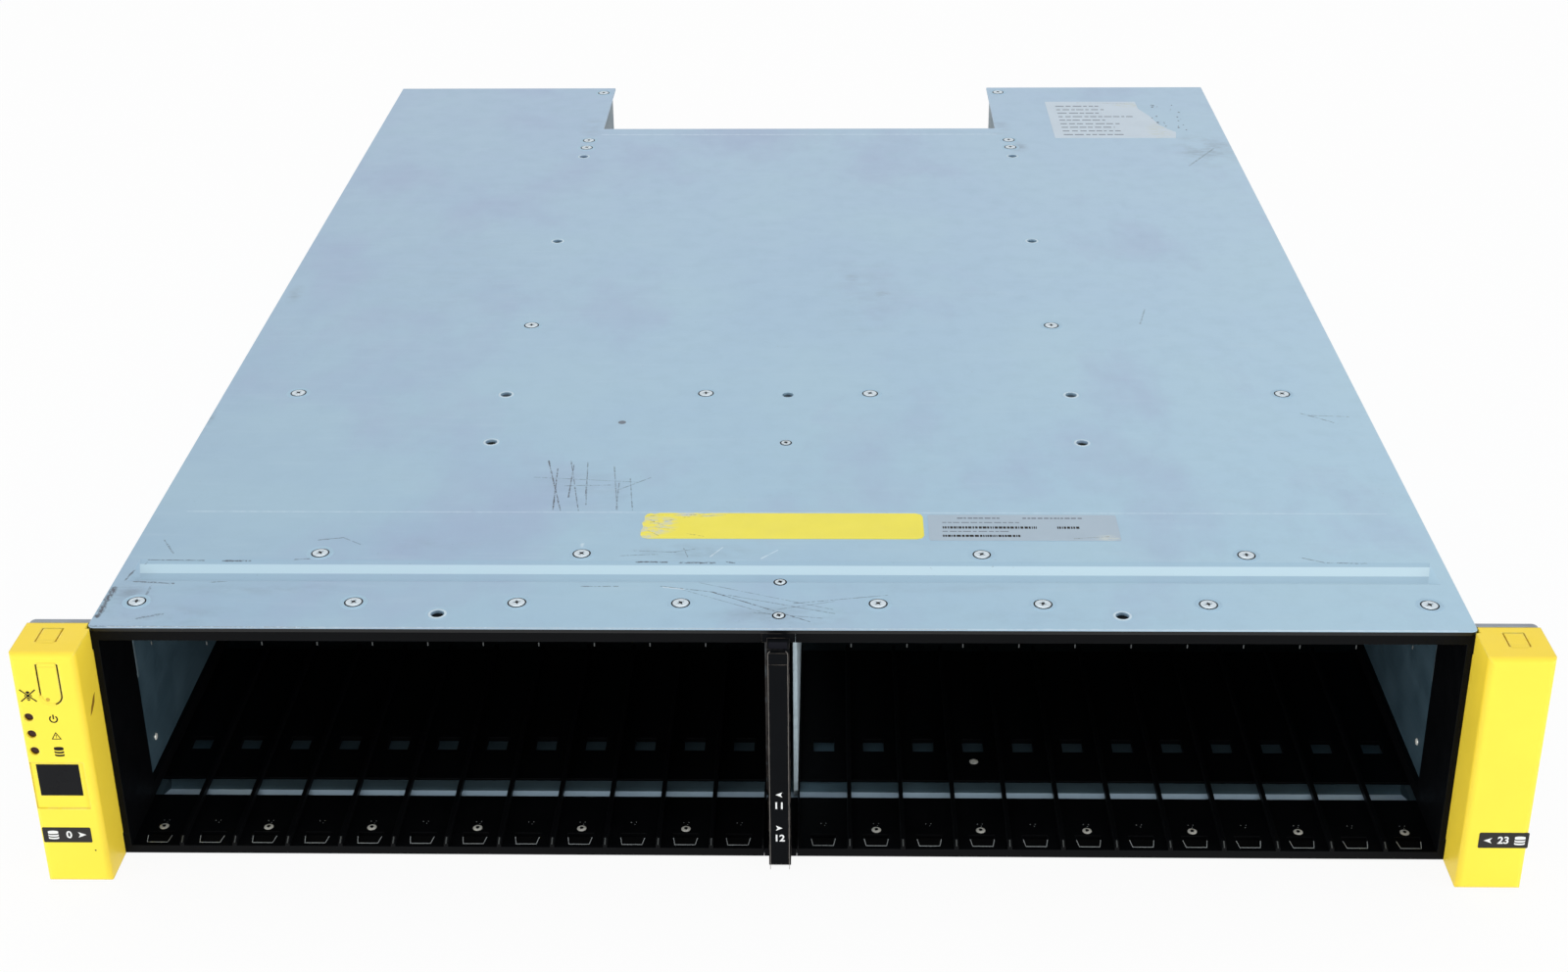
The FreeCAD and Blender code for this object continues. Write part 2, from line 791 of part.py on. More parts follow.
def mute_switch():
    x = -(cap_inner + tongue_from_inner)
    z = tongue_top - tongue_height + tongue_width / 2
    half = mute_switch_width / 2
    body_front = operator_board_front - mute_switch_depth
    tip = cap_inside + mute_travel
    body = block(x - half, x + half, body_front, operator_board_front, z - half, z + half)
    stem_half = mute_stem_width / 2
    stem = block(x - stem_half, x + stem_half, tip, operator_board_front, z - stem_half, z + stem_half)
    return join([body, stem])


# ---- Power modules -------------------------------------------------------------------------
def power_limits():
    """X, Y and Z limits of the right-hand power module's case."""
    return (outer_bay + module_side_gap, inner_half - module_side_gap, module_front, body_depth,
            floor_top + fit_gap, flange_under - module_side_gap)


def fan_centre():
    return outer_bay + fan_from_inner, fan_height


def case_shell(x0, x1, y0, y1, z0, z1):
    """Folded case, open at the end that plugs in."""
    inside = block(x0 + module_sheet, x1 - module_sheet, y0 - overrun, y1 - module_sheet,
                   z0 + module_sheet, z1 - module_sheet)
    return block(x0, x1, y0, y1, z0, z1).cut(inside)


def lever_parts(x, face, z0, side):
    """A cam lever and the eared bracket that holds it, on a face that looks back.

    side is the direction along X in which the lever lies when it is shut.
    """
    axis_y = face + lever_standoff
    z1 = z0 + lever_height
    ears = []
    for low in (z0 - fit_gap - lever_ear, z1 + fit_gap):
        ears.append(block(x - knuckle_radius, x + knuckle_radius, face - module_sheet / 2,
                          axis_y + knuckle_radius, low, low + lever_ear))
    pin = rod(x, axis_y, z0 - fit_gap, pin_radius, lever_height + 2 * fit_gap, up)
    bracket = join(ears + [pin])

    half = lever_thickness / 2
    reach = lever_length - grip_length
    outline = [(x, axis_y - half, z0), (x + side * reach, axis_y - half, z0),
               (x + side * lever_length, axis_y - half + grip_rise, z0),
               (x + side * lever_length, axis_y + half + grip_rise, z0),
               (x + side * reach, axis_y + half, z0), (x, axis_y + half, z0)]
    arm = prism(outline, up * lever_height)
    knuckle = regular_post(x, axis_y, z0, knuckle_radius, 8, up * lever_height)
    bore = rod(x, axis_y, z0 - overrun, pin_radius + shaft_clearance, lever_height + 2 * overrun, up)
    lever = join([arm, knuckle]).cut(bore)
    return lever, bracket


def power_lever_parts():
    x0, x1, y0, y1, z0, z1 = power_limits()
    return lever_parts(x0 + lever_from_edge, y1, z0 + lever_base, 1)


def inlet_limits():
    x1 = inner_half - module_side_gap - inlet_from_outer + inlet_width / 2
    return x1 - inlet_width, x1, inlet_base, inlet_base + inlet_height


def switch_centre():
    x0, x1, z0, z1 = inlet_limits()
    return (x0 + x1) / 2, switch_middle


def power_case():
    x0, x1, y0, y1, z0, z1 = power_limits()
    case = case_shell(x0, x1, y0, y1, z0, z1)
    fan_x, fan_z = fan_centre()
    ix0, ix1, iz0, iz1 = inlet_limits()
    sx, sz = switch_centre()
    y_in = y1 - module_sheet - overrun
    y_out = y1 + overrun
    cutters = [rod(fan_x, y_in, fan_z, fan_bore, y_out - y_in, back)]
    cutters.append(block(ix0, ix1, y_in, y_out, iz0, iz1))
    cutters.append(block(sx - switch_width / 2 - fit_gap, sx + switch_width / 2 + fit_gap, y_in, y_out,
                         sz - switch_height / 2 - switch_swing, sz + switch_height / 2 + switch_swing))
    case = case.cut(Part.makeCompound(cutters))
    lever, bracket = power_lever_parts()
    return join([case, bracket])


def fan_frame():
    """Square fan housing with its stator on struts and a shaft for the rotor."""
    x, z = fan_centre()
    rear = body_depth - module_sheet
    front = rear - fan_depth
    half = fan_size / 2
    frame = block(x - half, x + half, front, rear, z - half, z + half)
    frame = frame.cut(rod(x, front - overrun, z, fan_bore, fan_depth + 2 * overrun, back))
    stator = rod(x, rear - stator_depth, z, stator_radius, stator_depth, back)
    shaft_length = rotor_depth - hub_roof
    shaft = rod(x, rear - stator_depth - shaft_length, z, shaft_radius, shaft_length, back)
    parts = [frame, stator, shaft]
    for number in range(stator_struts):
        strut = block(x, x + fan_bore + fan_wall / 2, rear - stator_depth, rear - module_sheet,
                      z - strut_width / 2, z + strut_width / 2)
        strut.rotate(Vector(x, 0, z), back, 90 + number * 360 / stator_struts)
        parts.append(strut)
    return join(parts)


def fan_rotor():
    """Hub with slanted blades that runs on the fan's shaft."""
    x, z = fan_centre()
    rear = body_depth - module_sheet - stator_depth - rotor_gap
    front = rear - rotor_depth
    parts = [rod(x, front, z, rotor_hub, rotor_depth, back)]
    chord_half = (rotor_depth - 2 * blade_inset) / 2
    sweep_half = chord_half * math.tan(math.radians(blade_slant))
    tip = math.sqrt((fan_bore - blade_gap) ** 2 - (sweep_half + blade_thickness) ** 2)
    middle = front + rotor_depth / 2
    root = x + rotor_hub - blade_root
    outline = [(root, middle - chord_half, z - sweep_half), (root, middle + chord_half, z + sweep_half),
               (root, middle + chord_half, z + sweep_half + blade_thickness),
               (root, middle - chord_half, z - sweep_half + blade_thickness)]
    for number in range(rotor_blades):
        blade = prism(outline, right * (x + tip - root))
        blade.rotate(Vector(x, 0, z), back, number * 360 / rotor_blades)
        parts.append(blade)
    bore_length = rotor_depth - hub_roof + shaft_end_gap
    return join(parts).cut(rod(x, rear - bore_length, z, shaft_radius + shaft_clearance,
                               bore_length + overrun, back))


def fan_guard():
    """Square finger guard: a rim with level bars and one upright over the fan's opening."""
    x, z = fan_centre()
    half = fan_bore + guard_rim
    face = body_depth
    guard = block(x - half, x + half, face, face + guard_bar, z - half, z + half)
    pitch = (2 * fan_bore + guard_bar) / (guard_bars + 1)
    cutters = []
    for number in range(guard_bars + 1):
        low = z - fan_bore + number * pitch
        for x0, x1 in ((x - fan_bore, x - guard_bar), (x + guard_bar, x + fan_bore)):
            cutters.append(block(x0, x1, face - overrun, face + guard_bar + overrun,
                                 low, low + pitch - guard_bar))
    return guard.cut(Part.makeCompound(cutters))


def ac_inlet():
    """Mains inlet: a flanged shroud with three pins and two cut corners."""
    x0, x1, z0, z1 = inlet_limits()
    face = body_depth
    flange = block(x0 - inlet_flange, x1 + inlet_flange, face, face + inlet_flange, z0 - inlet_flange,
                   z1 + inlet_flange)
    shroud = block(x0, x1, face - inlet_depth, face, z0, z1)
    body = join([flange, shroud])
    a0 = x0 + inlet_wall
    a1 = x1 - inlet_wall
    b0 = z0 + inlet_wall
    b1 = z1 - inlet_wall
    cut = (b1 - b0) / 3
    y = face - inlet_depth + inlet_wall
    outline = [(a0, y, b0), (a1, y, b0), (a1, y, b1 - cut), (a1 - cut, y, b1), (a0 + cut, y, b1),
               (a0, y, b1 - cut)]
    body = body.cut(prism(outline, back * (inlet_depth + inlet_flange)))
    middle_x = (a0 + a1) / 2
    middle_z = (b0 + b1) / 2
    pins = []
    half = inlet_pin / 2
    for dx, dz in ((-inlet_width / 4, -half), (inlet_width / 4, -half), (0, half)):
        pins.append(block(middle_x + dx - half / 2, middle_x + dx + half / 2, y - inlet_wall / 2, face - half,
                          middle_z + dz - half, middle_z + dz + half))
    return join([body] + pins)


def power_switch():
    """Rocker with a shallow valley across its face, at rest with its lower end out."""
    x, z = switch_centre()
    half = switch_height / 2
    rise = half * math.tan(math.radians(switch_tilt))
    x0 = x - switch_width / 2
    face = body_depth
    valley = face + rocker_rise
    side = face - rocker_side
    root = face - rocker_depth
    outline = [(x0, valley, z), (x0, valley + rise, z + half), (x0, side, z + half),
               (x0, root, z + half / 2), (x0, root, z - half / 2), (x0, side, z - half),
               (x0, valley + rise, z - half)]
    rocker = prism(outline, Vector(switch_width, 0, 0))
    rocker.rotate(Vector(x, face, z), right, -switch_tilt)
    return rocker


def board_with_plug(x0, x1, y0, y1, z, plug_x):
    """A circuit board lying in a module, with an edge plug towards the midplane."""
    board = block(x0, x1, y0, y1, z - module_board / 2, z + module_board / 2)
    half = socket_width / 2 - socket_wall - plug_side_gap
    plug = block(plug_x - half, plug_x + half, y0 - module_plug, y0 + overrun, z - module_board / 2,
                 z + module_board / 2)
    return join([board, plug])


def power_board():
    x0, x1, y0, y1, z0, z1 = power_limits()
    plug_x, plug_z = socket_places()[0]
    rear = body_depth - module_sheet - fan_depth - board_end_gap
    return board_with_plug(x0 + module_sheet, x1 - module_sheet, y0, rear, plug_z, plug_x)


# ---- Interface modules ---------------------------------------------------------------------
def io_limits(upper):
    z0 = (shelf_high if upper else floor_top) + fit_gap
    z1 = (flange_under if upper else shelf_low) - fit_gap
    half = io_half - module_side_gap
    return -half, half, module_front, notch_front - io_face_inset, z0, z1


def io_lever_parts(upper):
    x0, x1, y0, y1, z0, z1 = io_limits(upper)
    low = z0 + lever_base
    return lever_parts(x1 - lever_from_edge, y1, low, -1)


def port_limits(upper, number):
    x0, x1, y0, y1, z0, z1 = io_limits(upper)
    x = (number - (port_count - 1) / 2) * port_pitch
    top = z1 - module_sheet - port_drop
    return x - port_width / 2, x + port_width / 2, top - port_height, top


def io_case(upper):
    x0, x1, y0, y1, z0, z1 = io_limits(upper)
    case = case_shell(x0, x1, y0, y1, z0, z1)
    cutters = []
    for number in range(port_count):
        a0, a1, b0, b1 = port_limits(upper, number)
        cutters.append(block(a0, a1, y1 - module_sheet - overrun, y1 + overrun, b0, b1))
    case = case.cut(Part.makeCompound(cutters))
    lever, bracket = io_lever_parts(upper)
    return join([case, bracket, mirrored(bracket)])


def io_ports(upper):
    x0, x1, y0, y1, z0, z1 = io_limits(upper)
    ports = []
    for number in range(port_count):
        a0, a1, b0, b1 = port_limits(upper, number)
        body = block(a0, a1, y1 - port_depth, y1 + port_lip, b0, b1)
        mouth = block(a0 + port_wall, a1 - port_wall, y1 - port_depth + port_wall, y1 + port_lip + overrun,
                      b0 + port_wall, b1 - port_wall)
        ports.append(body.cut(mouth))
    return ports


def io_board(upper):
    x0, x1, y0, y1, z0, z1 = io_limits(upper)
    plug_x, plug_z = socket_places()[3 if upper else 2]
    rear = y1 - module_sheet - port_depth - board_end_gap
    return board_with_plug(x0 + module_sheet, x1 - module_sheet, y0, rear, plug_z, plug_x)


# ---- All parts -----------------------------------------------------------------------------
os.makedirs("parts", exist_ok=True)

save("chassis_base", chassis_base())
save("top_cover", top_cover())
save_pair("lower_drive_guide", lower_guide())
save_pair("upper_drive_guide", upper_guide())
save_pair("side_plate", side_plate())
save("centre_post", centre_post())
save("centre_divider", centre_divider())
save("midplane_board", midplane_board_shape())
save("midplane_frame", midplane_frame())
save("drive_connectors", *drive_connectors())
save("midplane_sockets", *midplane_sockets())
save_pair("rear_divider", rear_divider())
save("io_shelf", io_shelf())
save_pair("rack_ear", rack_ear())
save("end_cap_right", right_cap())
save("end_cap_left", left_cap())
save_pair("cap_release_tab", release_tab())
save("mute_button", mute_button())
save("screen_window", screen_window())
save("operator_board", operator_board_shape())
save("operator_standoffs", *operator_standoffs())
save("status_leds", *status_leds())
save("screen_module", screen_module())
save("mute_switch", mute_switch())

save_pair("power_case", power_case())
save_pair("power_board", power_board())
save_pair("fan_frame", fan_frame())
save_pair("fan_rotor", fan_rotor())
save_pair("fan_guard", fan_guard())
save_pair("ac_inlet", ac_inlet())
save_pair("power_switch", power_switch())
save_pair("power_lever", power_lever_parts()[0])

for upper, level in ((False, "lower"), (True, "upper")):
    save("io_case_" + level, io_case(upper))
    save("io_board_" + level, io_board(upper))
    save("io_ports_" + level, *io_ports(upper))
    lever = io_lever_parts(upper)[0]
    save("io_lever_" + level + "_right", lever)
    save("io_lever_" + level + "_left", mirrored(lever))
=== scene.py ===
import json
from math import cos, pi, radians, sin
from random import seed, uniform

import bmesh
import bpy
from mathutils import Matrix, Vector


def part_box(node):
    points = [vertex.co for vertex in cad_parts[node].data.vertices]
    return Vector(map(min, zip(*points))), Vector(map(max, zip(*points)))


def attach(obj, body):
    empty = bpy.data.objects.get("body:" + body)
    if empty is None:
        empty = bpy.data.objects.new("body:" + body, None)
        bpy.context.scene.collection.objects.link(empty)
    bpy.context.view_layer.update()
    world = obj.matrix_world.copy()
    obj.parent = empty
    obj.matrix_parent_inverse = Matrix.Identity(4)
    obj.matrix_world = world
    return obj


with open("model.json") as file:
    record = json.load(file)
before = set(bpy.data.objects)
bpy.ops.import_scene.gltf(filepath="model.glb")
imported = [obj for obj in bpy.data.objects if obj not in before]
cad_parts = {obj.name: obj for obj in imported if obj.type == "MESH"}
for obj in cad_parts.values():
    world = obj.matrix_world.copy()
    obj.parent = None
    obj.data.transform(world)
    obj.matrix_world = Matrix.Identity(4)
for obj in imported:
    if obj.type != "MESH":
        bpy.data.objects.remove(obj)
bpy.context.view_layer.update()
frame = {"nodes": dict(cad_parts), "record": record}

# Disk shelf enclosure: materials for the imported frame, and the small pieces that only the looks
# need. Places are given in millimetres as in the part's source: X right, Y back from the cover's
# front edge, Z up from the base.
MM = 0.001
front_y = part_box("top_cover")[0].y
top_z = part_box("top_cover")[1].z
TOP = top_z / MM  # top of the cover
BODY_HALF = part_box("chassis_base")[1].x / MM
SHEET = 1.2  # thickness of the body's steel
INNER_HALF = BODY_HALF - SHEET  # inside of the walls
seed(7)


def spot(x, y, z):
    """A place in millimetres from the cover's front edge, as a vector in metres."""
    return Vector((x * MM, front_y + y * MM, z * MM))


def limits(node):
    """Lowest and highest X, Y and Z of a CAD node, in the same millimetres."""
    low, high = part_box(node)
    return (low.x / MM, high.x / MM, (low.y - front_y) / MM, (high.y - front_y) / MM, low.z / MM, high.z / MM)


def srgb(red, green, blue):
    """A colour read as 0 to 255 on a screen, as the linear colour that shaders use."""
    linear = []
    for value in (red, green, blue):
        share = value / 255
        linear.append(share / 12.92 if share <= 0.04045 else ((share + 0.055) / 1.055) ** 2.4)
    return (*linear, 1)


# ---- Node graphs ----
class Graph:
    """Short calls that build the nodes of one material."""

    def __init__(self, name, colour, roughness, metallic=0, specular=0.5):
        self.material = bpy.data.materials.new(name)
        self.material.use_nodes = True
        self.tree = self.material.node_tree
        self.shader = self.tree.nodes["Principled BSDF"]
        for socket, value in (("Base Color", colour), ("Roughness", roughness), ("Metallic", metallic),
                              ("Specular IOR Level", specular)):
            self.shader.inputs[socket].default_value = value
        self.place = self.node("TexCoord").outputs["Object"]
        self.shade = colour
        self.last_mask = None

    def node(self, kind, values=None, **settings):
        """Adds a node; a value is a number, a colour or another node's output."""
        made = self.tree.nodes.new("ShaderNode" + kind)
        for name, setting in settings.items():
            setattr(made, name, setting)
        for key, value in (values or {}).items():
            self.give(made.inputs[key], value)
        return made

    def give(self, socket, value):
        """Sets a socket to a value, or links another node's output to it."""
        if isinstance(value, bpy.types.NodeSocket):
            self.tree.links.new(value, socket)
        else:
            socket.default_value = value

    def math(self, operation, *values, clamp=False):
        """One arithmetic node."""
        made = self.node("Math", operation=operation, use_clamp=clamp)
        for number, value in enumerate(values):
            self.give(made.inputs[number], value)
        return made.outputs[0]

    def times(self, first, second):
        """The product of two masks or numbers."""
        return self.math("MULTIPLY", first, second)

    def vector(self, operation, first, second):
        """One vector node, whose result is a vector."""
        return self.node("VectorMath", {0: first, 1: second}, operation=operation).outputs[0]

    def noise(self, size, detail=3, rough=0.55, stretch=None):
        """Cloudy values from 0 to 1 whose features are about size millimetres wide."""
        vector = self.place
        if stretch:
            vector = self.vector("MULTIPLY", vector, stretch)
        return self.node("TexNoise", {"Vector": vector, "Scale": 1 / (size * MM), "Detail": detail,
                                      "Roughness": rough}).outputs[0]

    def ramp(self, value, low, high, start=0, end=1):
        """Maps value from low..high to start..end, held at both ends."""
        return self.node("MapRange", {"Value": value, "From Min": low, "From Max": high,
                                      "To Min": start, "To Max": end}).outputs[0]

    def mix(self, share, first, second):
        """The first colour where share is 0, and the second where it is 1."""
        made = self.node("Mix", data_type="RGBA")
        self.give(made.inputs["Factor"], share)
        self.give(made.inputs[6], first)
        self.give(made.inputs[7], second)
        return made.outputs[2]

    def tint(self, share, colour):
        """Turns the shade so far towards a colour, where share is above 0."""
        self.shade = self.mix(share, self.shade, colour)

    def axes(self, vector):
        """The X, Y and Z of a vector as three outputs."""
        return self.node("SeparateXYZ", {0: vector}).outputs

    def facing(self):
        """The true normal's X, Y and Z."""
        return self.axes(self.node("NewGeometry").outputs["True Normal"])

    def either(self, masks):
        """The highest of several masks, taken one by one so that few are held at a time."""
        whole = None
        for mask in masks:
            whole = mask if whole is None else self.math("MAXIMUM", whole, mask)
        return whole

    def bump(self, height, strength, distance, edge=None):
        """Bump whose full height is distance millimetres, over edges rounded by edge millimetres."""
        made = self.node("Bump", {"Strength": strength, "Distance": distance * MM, "Height": height})
        if edge:
            self.give(made.inputs["Normal"], self.edge(edge))
        return made.outputs[0]

    def finish(self, roughness=None, normal=None):
        """Hands the results to the shader and gives the material."""
        for socket, value in (("Base Color", self.shade), ("Roughness", roughness), ("Normal", normal)):
            if value is not None:
                self.give(self.shader.inputs[socket], value)
        return self.material

    def edge(self, radius):
        """A normal that rounds sharp edges over radius millimetres."""
        return self.node("Bevel", {"Radius": radius * MM}, samples=6).outputs[0]

    def wear(self, radius):
        """1 along sharp edges and 0 on flat faces."""
        true_normal = self.node("NewGeometry").outputs["Normal"]
        dot = self.node("VectorMath", {0: self.edge(radius), 1: true_normal}, operation="DOT_PRODUCT")
        return self.ramp(dot.outputs["Value"], 0.9, 0.99, 1, 0)

    def place_after_last(self):
        """The place, tied to the last mask: the renderer then works the masks out in turn."""
        if self.last_mask is None:
            return self.place
        scale = self.math("MULTIPLY_ADD", self.last_mask, 1e-9, 1)
        return self.node("VectorMath", {0: self.place, "Scale": scale}, operation="SCALE").outputs[0]

    def segment(self, line, half_width, wobble):
        """1 on a line between two places on the cover or a sticker, 0 beyond its width."""
        start, end = line
        run = end - start
        offset = self.vector("SUBTRACT", self.place_after_last(), start)
        along = self.node("VectorMath", {0: offset, 1: run / run.length_squared}, operation="DOT_PRODUCT")
        share = self.math("ADD", along.outputs["Value"], 0, clamp=True)
        foot = self.node("VectorMath", {0: tuple(run), "Scale": share}, operation="SCALE").outputs[0]
        away = self.node("VectorMath", {0: offset, 1: foot}, operation="DISTANCE").outputs["Value"]
        away = self.math("ADD", away, self.times(wobble, 2.0 * half_width * MM))
        self.last_mask = self.ramp(away, 0.3 * half_width * MM, half_width * MM, 1, 0)
        return self.last_mask

    def oval(self, centre, reach_x, reach_y):
        """1 in the middle of an oval patch, fading to 0 at its rim."""
        offset = self.vector("SUBTRACT", self.place_after_last(), centre)
        scaled = self.vector("MULTIPLY", offset, (1 / (reach_x * MM), 1 / (reach_y * MM), 0))
        distance = self.node("VectorMath", {0: scaled}, operation="LENGTH").outputs["Value"]
        self.last_mask = self.ramp(distance, 0.2, 1, 1, 0)
        return self.last_mask


def shaded(colour, share):
    """A colour taken towards black by a share."""
    return tuple(value * (1 - share) for value in colour[:3]) + (1,)


def moulded_plastic(name, colour, worn, roughness=0.42, edge=0.35, tone=0.06, specular=0.5, rub=0.5,
                    side_painted_shade=None):
    """Moulded plastic: fine grain, uneven gloss, faint tone changes and rubbed edges."""
    g = Graph(name, colour, roughness, specular=specular)
    # a more orange yellow on faces that don't look forwards or backwards: painted shade on the sides and top
    if side_painted_shade:
        g.shade = g.mix(g.ramp(g.math("ABSOLUTE", g.facing()["Y"]), 0.55, 0.95), side_painted_shade, colour)
    g.tint(g.ramp(g.noise(22, detail=4), 0.35, 0.65, 0, tone), shaded(colour, 0.6))
    g.tint(g.times(g.wear(edge), g.ramp(g.noise(3.5), 0.4, 0.62, 0, rub)), worn)
    gloss = g.ramp(g.noise(9, detail=5), 0.3, 0.7, roughness - 0.06, roughness + 0.08)
    return g.finish(gloss, g.bump(g.noise(0.25, detail=2), 0.35, 0.03, edge))


def sheet_steel(name, colour, dull, roughness=0.42, inside=None):
    """Zinc-coated sheet: soft spangle, rolling lines, small scuffs and brighter cut edges.

    inside says which places take painted shade: darker steel within the body, with painted light on the floor
    near the front and deeper painted shade further back. It gets the graph and gives a mask.
    """
    g = Graph(name, colour, roughness, 0.55)
    spangle = g.noise(14, detail=4, rough=0.6)
    rolled = g.noise(1.6, detail=3, stretch=(1, 0.06, 1))
    g.shade = g.mix(g.ramp(spangle, 0.3, 0.7), dull, colour)
    g.tint(g.times(g.wear(0.3), 0.45), srgb(225, 232, 238))
    scuff = g.ramp(g.noise(0.5, detail=5, stretch=(1, 0.12, 1)), 0.62, 0.75, 0, 0.12)
    g.tint(scuff, srgb(90, 96, 104))
    if inside:
        depth = g.ramp(g.axes(g.place)["Y"], front_y + FLOOR_PAINTED_LIGHT[0] * MM, front_y + FLOOR_PAINTED_LIGHT[1] * MM)
        near_floor = g.ramp(g.axes(g.place)["Z"], 6 * MM, 4 * MM)
        # painted shade inside the body, painted light on the floor near the front, deeper painted shade behind
        within = g.mix(g.ramp(spangle, 0.3, 0.7), srgb(72, 98, 112), srgb(88, 114, 128))
        within = g.mix(g.times(near_floor, g.math("SUBTRACT", 1, depth)), within, srgb(112, 140, 154))
        within = g.mix(g.times(near_floor, g.times(depth, 0.9)), within, srgb(20, 28, 32))
        g.tint(inside(g), within)
    gloss = g.ramp(g.math("ADD", spangle, g.times(rolled, 0.4)), 0.4, 0.9, roughness - 0.08,
                   roughness + 0.1)
    return g.finish(gloss, g.bump(rolled, 0.12, 0.02, 0.3))


def painted_shade_inside_body(g):
    """Where painted shade goes: the inner faces of walls and floor, apart from the front slope of the floor's
    bead.
    """
    across = g.math("ABSOLUTE", g.axes(g.place)["X"])
    height = g.axes(g.place)["Z"]
    within = g.times(g.ramp(across, (BODY_HALF - 0.5) * MM, (BODY_HALF - 0.7) * MM),
                    g.times(g.ramp(height, 0.9 * MM, 1.1 * MM),
                           g.ramp(height, top_z - 0.9 * MM, top_z - 1.1 * MM)))
    front_slope = g.times(g.ramp(g.facing()["Y"], -0.15, -0.3), g.ramp(height, 5 * MM, 4 * MM))
    return g.times(within, g.math("SUBTRACT", 1, front_slope))


def circuit_board(name):
    """Green solder mask with a faint pattern of tracks."""
    g = Graph(name, srgb(28, 92, 52), 0.38)
    tracks = g.node("TexBrick", {"Vector": g.place, "Scale": 260, "Mortar Size": 0.06, "Color1": (0, 0, 0, 1),
                                 "Color2": (0.3, 0.3, 0.3, 1), "Mortar": (1, 1, 1, 1)}).outputs["Color"]
    g.tint(tracks, srgb(52, 128, 78))
    return g.finish(g.ramp(g.noise(5), 0.3, 0.7, 0.3, 0.45), g.bump(tracks, 0.2, 0.03))


def plain(name, colour, roughness, metallic=0, size=2, tone=0.12, specular=0.5):
    """A small part's material: one tone, slightly uneven in colour and gloss."""
    g = Graph(name, colour, roughness, metallic, specular)
    cloud = g.noise(size, detail=4)
    g.shade = g.mix(g.ramp(cloud, 0.35, 0.65), shaded(colour, tone), colour)
    gloss = g.ramp(cloud, 0.3, 0.7, max(roughness - 0.07, 0.05), roughness + 0.07)
    return g.finish(gloss, g.bump(g.noise(size / 6), 0.2, 0.02))


# ---- The cover's own steel, with its scratches and stains ----
GROOVE_PAINTED_HIGHLIGHT = (37.4, 42.2)  # from and to where a highlight is painted on the groove's far wall
FLOOR_PAINTED_LIGHT = (55, 80)  # painted light on the floor up to the first, and painted shade from the second
SCRATCH_WIDTH = 1.45  # the real scratches' width and depth of tone over the list's
SCRATCH_TONE = 1.35
COVER = srgb(158, 190, 212)
COVER_LEFT = srgb(150, 180, 203)
COVER_RIGHT = srgb(168, 200, 220)
SCRATCHES = [
    # start x, y, end x, y, half width, strength
    (-81.1, 81, -82.9, 112.5, 0.22, 0.8), (-76.6, 90.2, -77.3, 115.8, 0.22, 0.7),
    (-70.7, 91.8, -71.7, 109.3, 0.2, 0.7), (-78.7, 99, -62.6, 99.7, 0.2, 0.5),
    (-58.8, 81.1, -59.5, 101.3, 0.2, 0.5), (-53, 80.5, -55.7, 104.5, 0.2, 0.5),
    (-58.7, 96.5, -48.4, 105.5, 0.22, 0.45), (-87, 119, -78.3, 80, 0.25, 0.7), (-78.7, 119, -72, 80, 0.22, 0.6),
    (-72.4, 117.5, -69.8, 84.7, 0.2, 0.5), (-62.4, 114.4, -58.3, 80.3, 0.2, 0.5),
    (-90.7, 105.7, -53.1, 102, 0.2, 0.4), (-48.6, 43.9, -38.5, 43.8, 0.35, 0.9),
    (-34, 43.6, -22.5, 43.5, 0.45, 0.9), (-19, 44.2, -15.6, 43.5, 0.3, 0.7),
    (-33.3, 53.2, -31.5, 47, 0.15, 0.5), (-37.3, 50.4, -29.5, 52.8, 0.15, 0.5), (-54.5, 48, -42, 49, 0.2, 0.45),
    (-50, 51.5, -36, 50.5, 0.2, 0.4), (-39.2, 27.6, -22.2, 24, 0.22, 0.6), (-22.2, 24, 10.1, 5.3, 0.22, 0.8),
    (-16.7, 21.9, 18, 10.4, 0.16, 0.6), (-34.2, 26.6, -1.5, 9.2, 0.14, 0.5), (-31.2, 31.7, 17.4, 13, 0.14, 0.5),
    (4.7, 16.8, 35.3, 22.2, 0.16, 0.6), (-0.5, 12.9, 18, 18.2, 0.14, 0.5), (-8, 11, 14, 7.5, 0.16, 0.5),
    (-65.5, 27.4, -53.4, 27.5, 0.22, 0.6), (-220.3, 7.4, -220, 25.5, 0.9, 0.8),
    (-206.9, 6.1, -199.5, 8.9, 0.5, 0.45), (-208.3, 19.9, -208.1, 27, 0.35, 0.4),
    (-212.4, 58.2, -206.9, 49.1, 0.3, 0.45), (-159, 58.5, -151, 60.2, 0.3, 0.5),
    (-151, 60.2, -144.2, 55.5, 0.25, 0.4), (-164.3, 44.8, -153.5, 46.3, 0.3, 0.55),
    (-188.5, 43.9, -179.6, 44, 0.4, 0.7), (-214, 44.4, -195, 44.1, 0.22, 0.6),
    (-214.8, 29.8, -201.3, 28.5, 0.4, 0.6), (-189.1, 29.3, -183.6, 30.3, 0.35, 0.5),
    (174.1, 48, 182.1, 44.4, 0.22, 0.5), (182.1, 44.4, 195.8, 44, 0.22, 0.5),
    (-217.9, 30.5, -216.9, 37, 0.3, 0.65), (-216.9, 37, -214.1, 43, 0.3, 0.65), (196, 160, 207, 152, 0.3, 0.5),
    (200, 158, 214, 157, 0.25, 0.45), (150, 262, 146, 246, 0.3, 0.35), (196, 446, 212, 472, 0.4, 0.4),
    (-221, 1.2, -150, 0.9, 0.35, 0.5), (-150, 1, 60, 0.8, 0.25, 0.3),
]
PAINTED_HIGHLIGHTS_AND_RUBS = [
    # pale lines in the same form: painted highlights along folds and the front edge, and rubbed lines
    (-210, 79, 210, 79, 0.45, 0.3), (-103, 495.7, 103, 495.7, 0.45, 0.5), (-215, 0.9, 215, 0.9, 0.55, 0.35),
    (-24, 47.5, -20, 54, 0.3, 0.6), (-68, 51.5, -68, 56, 0.8, 0.4), (-38.5, 27, -31.5, 25.6, 0.35, 0.7),
    (-6.7, 46.3, -1.4, 52, 0.35, 0.5),
]
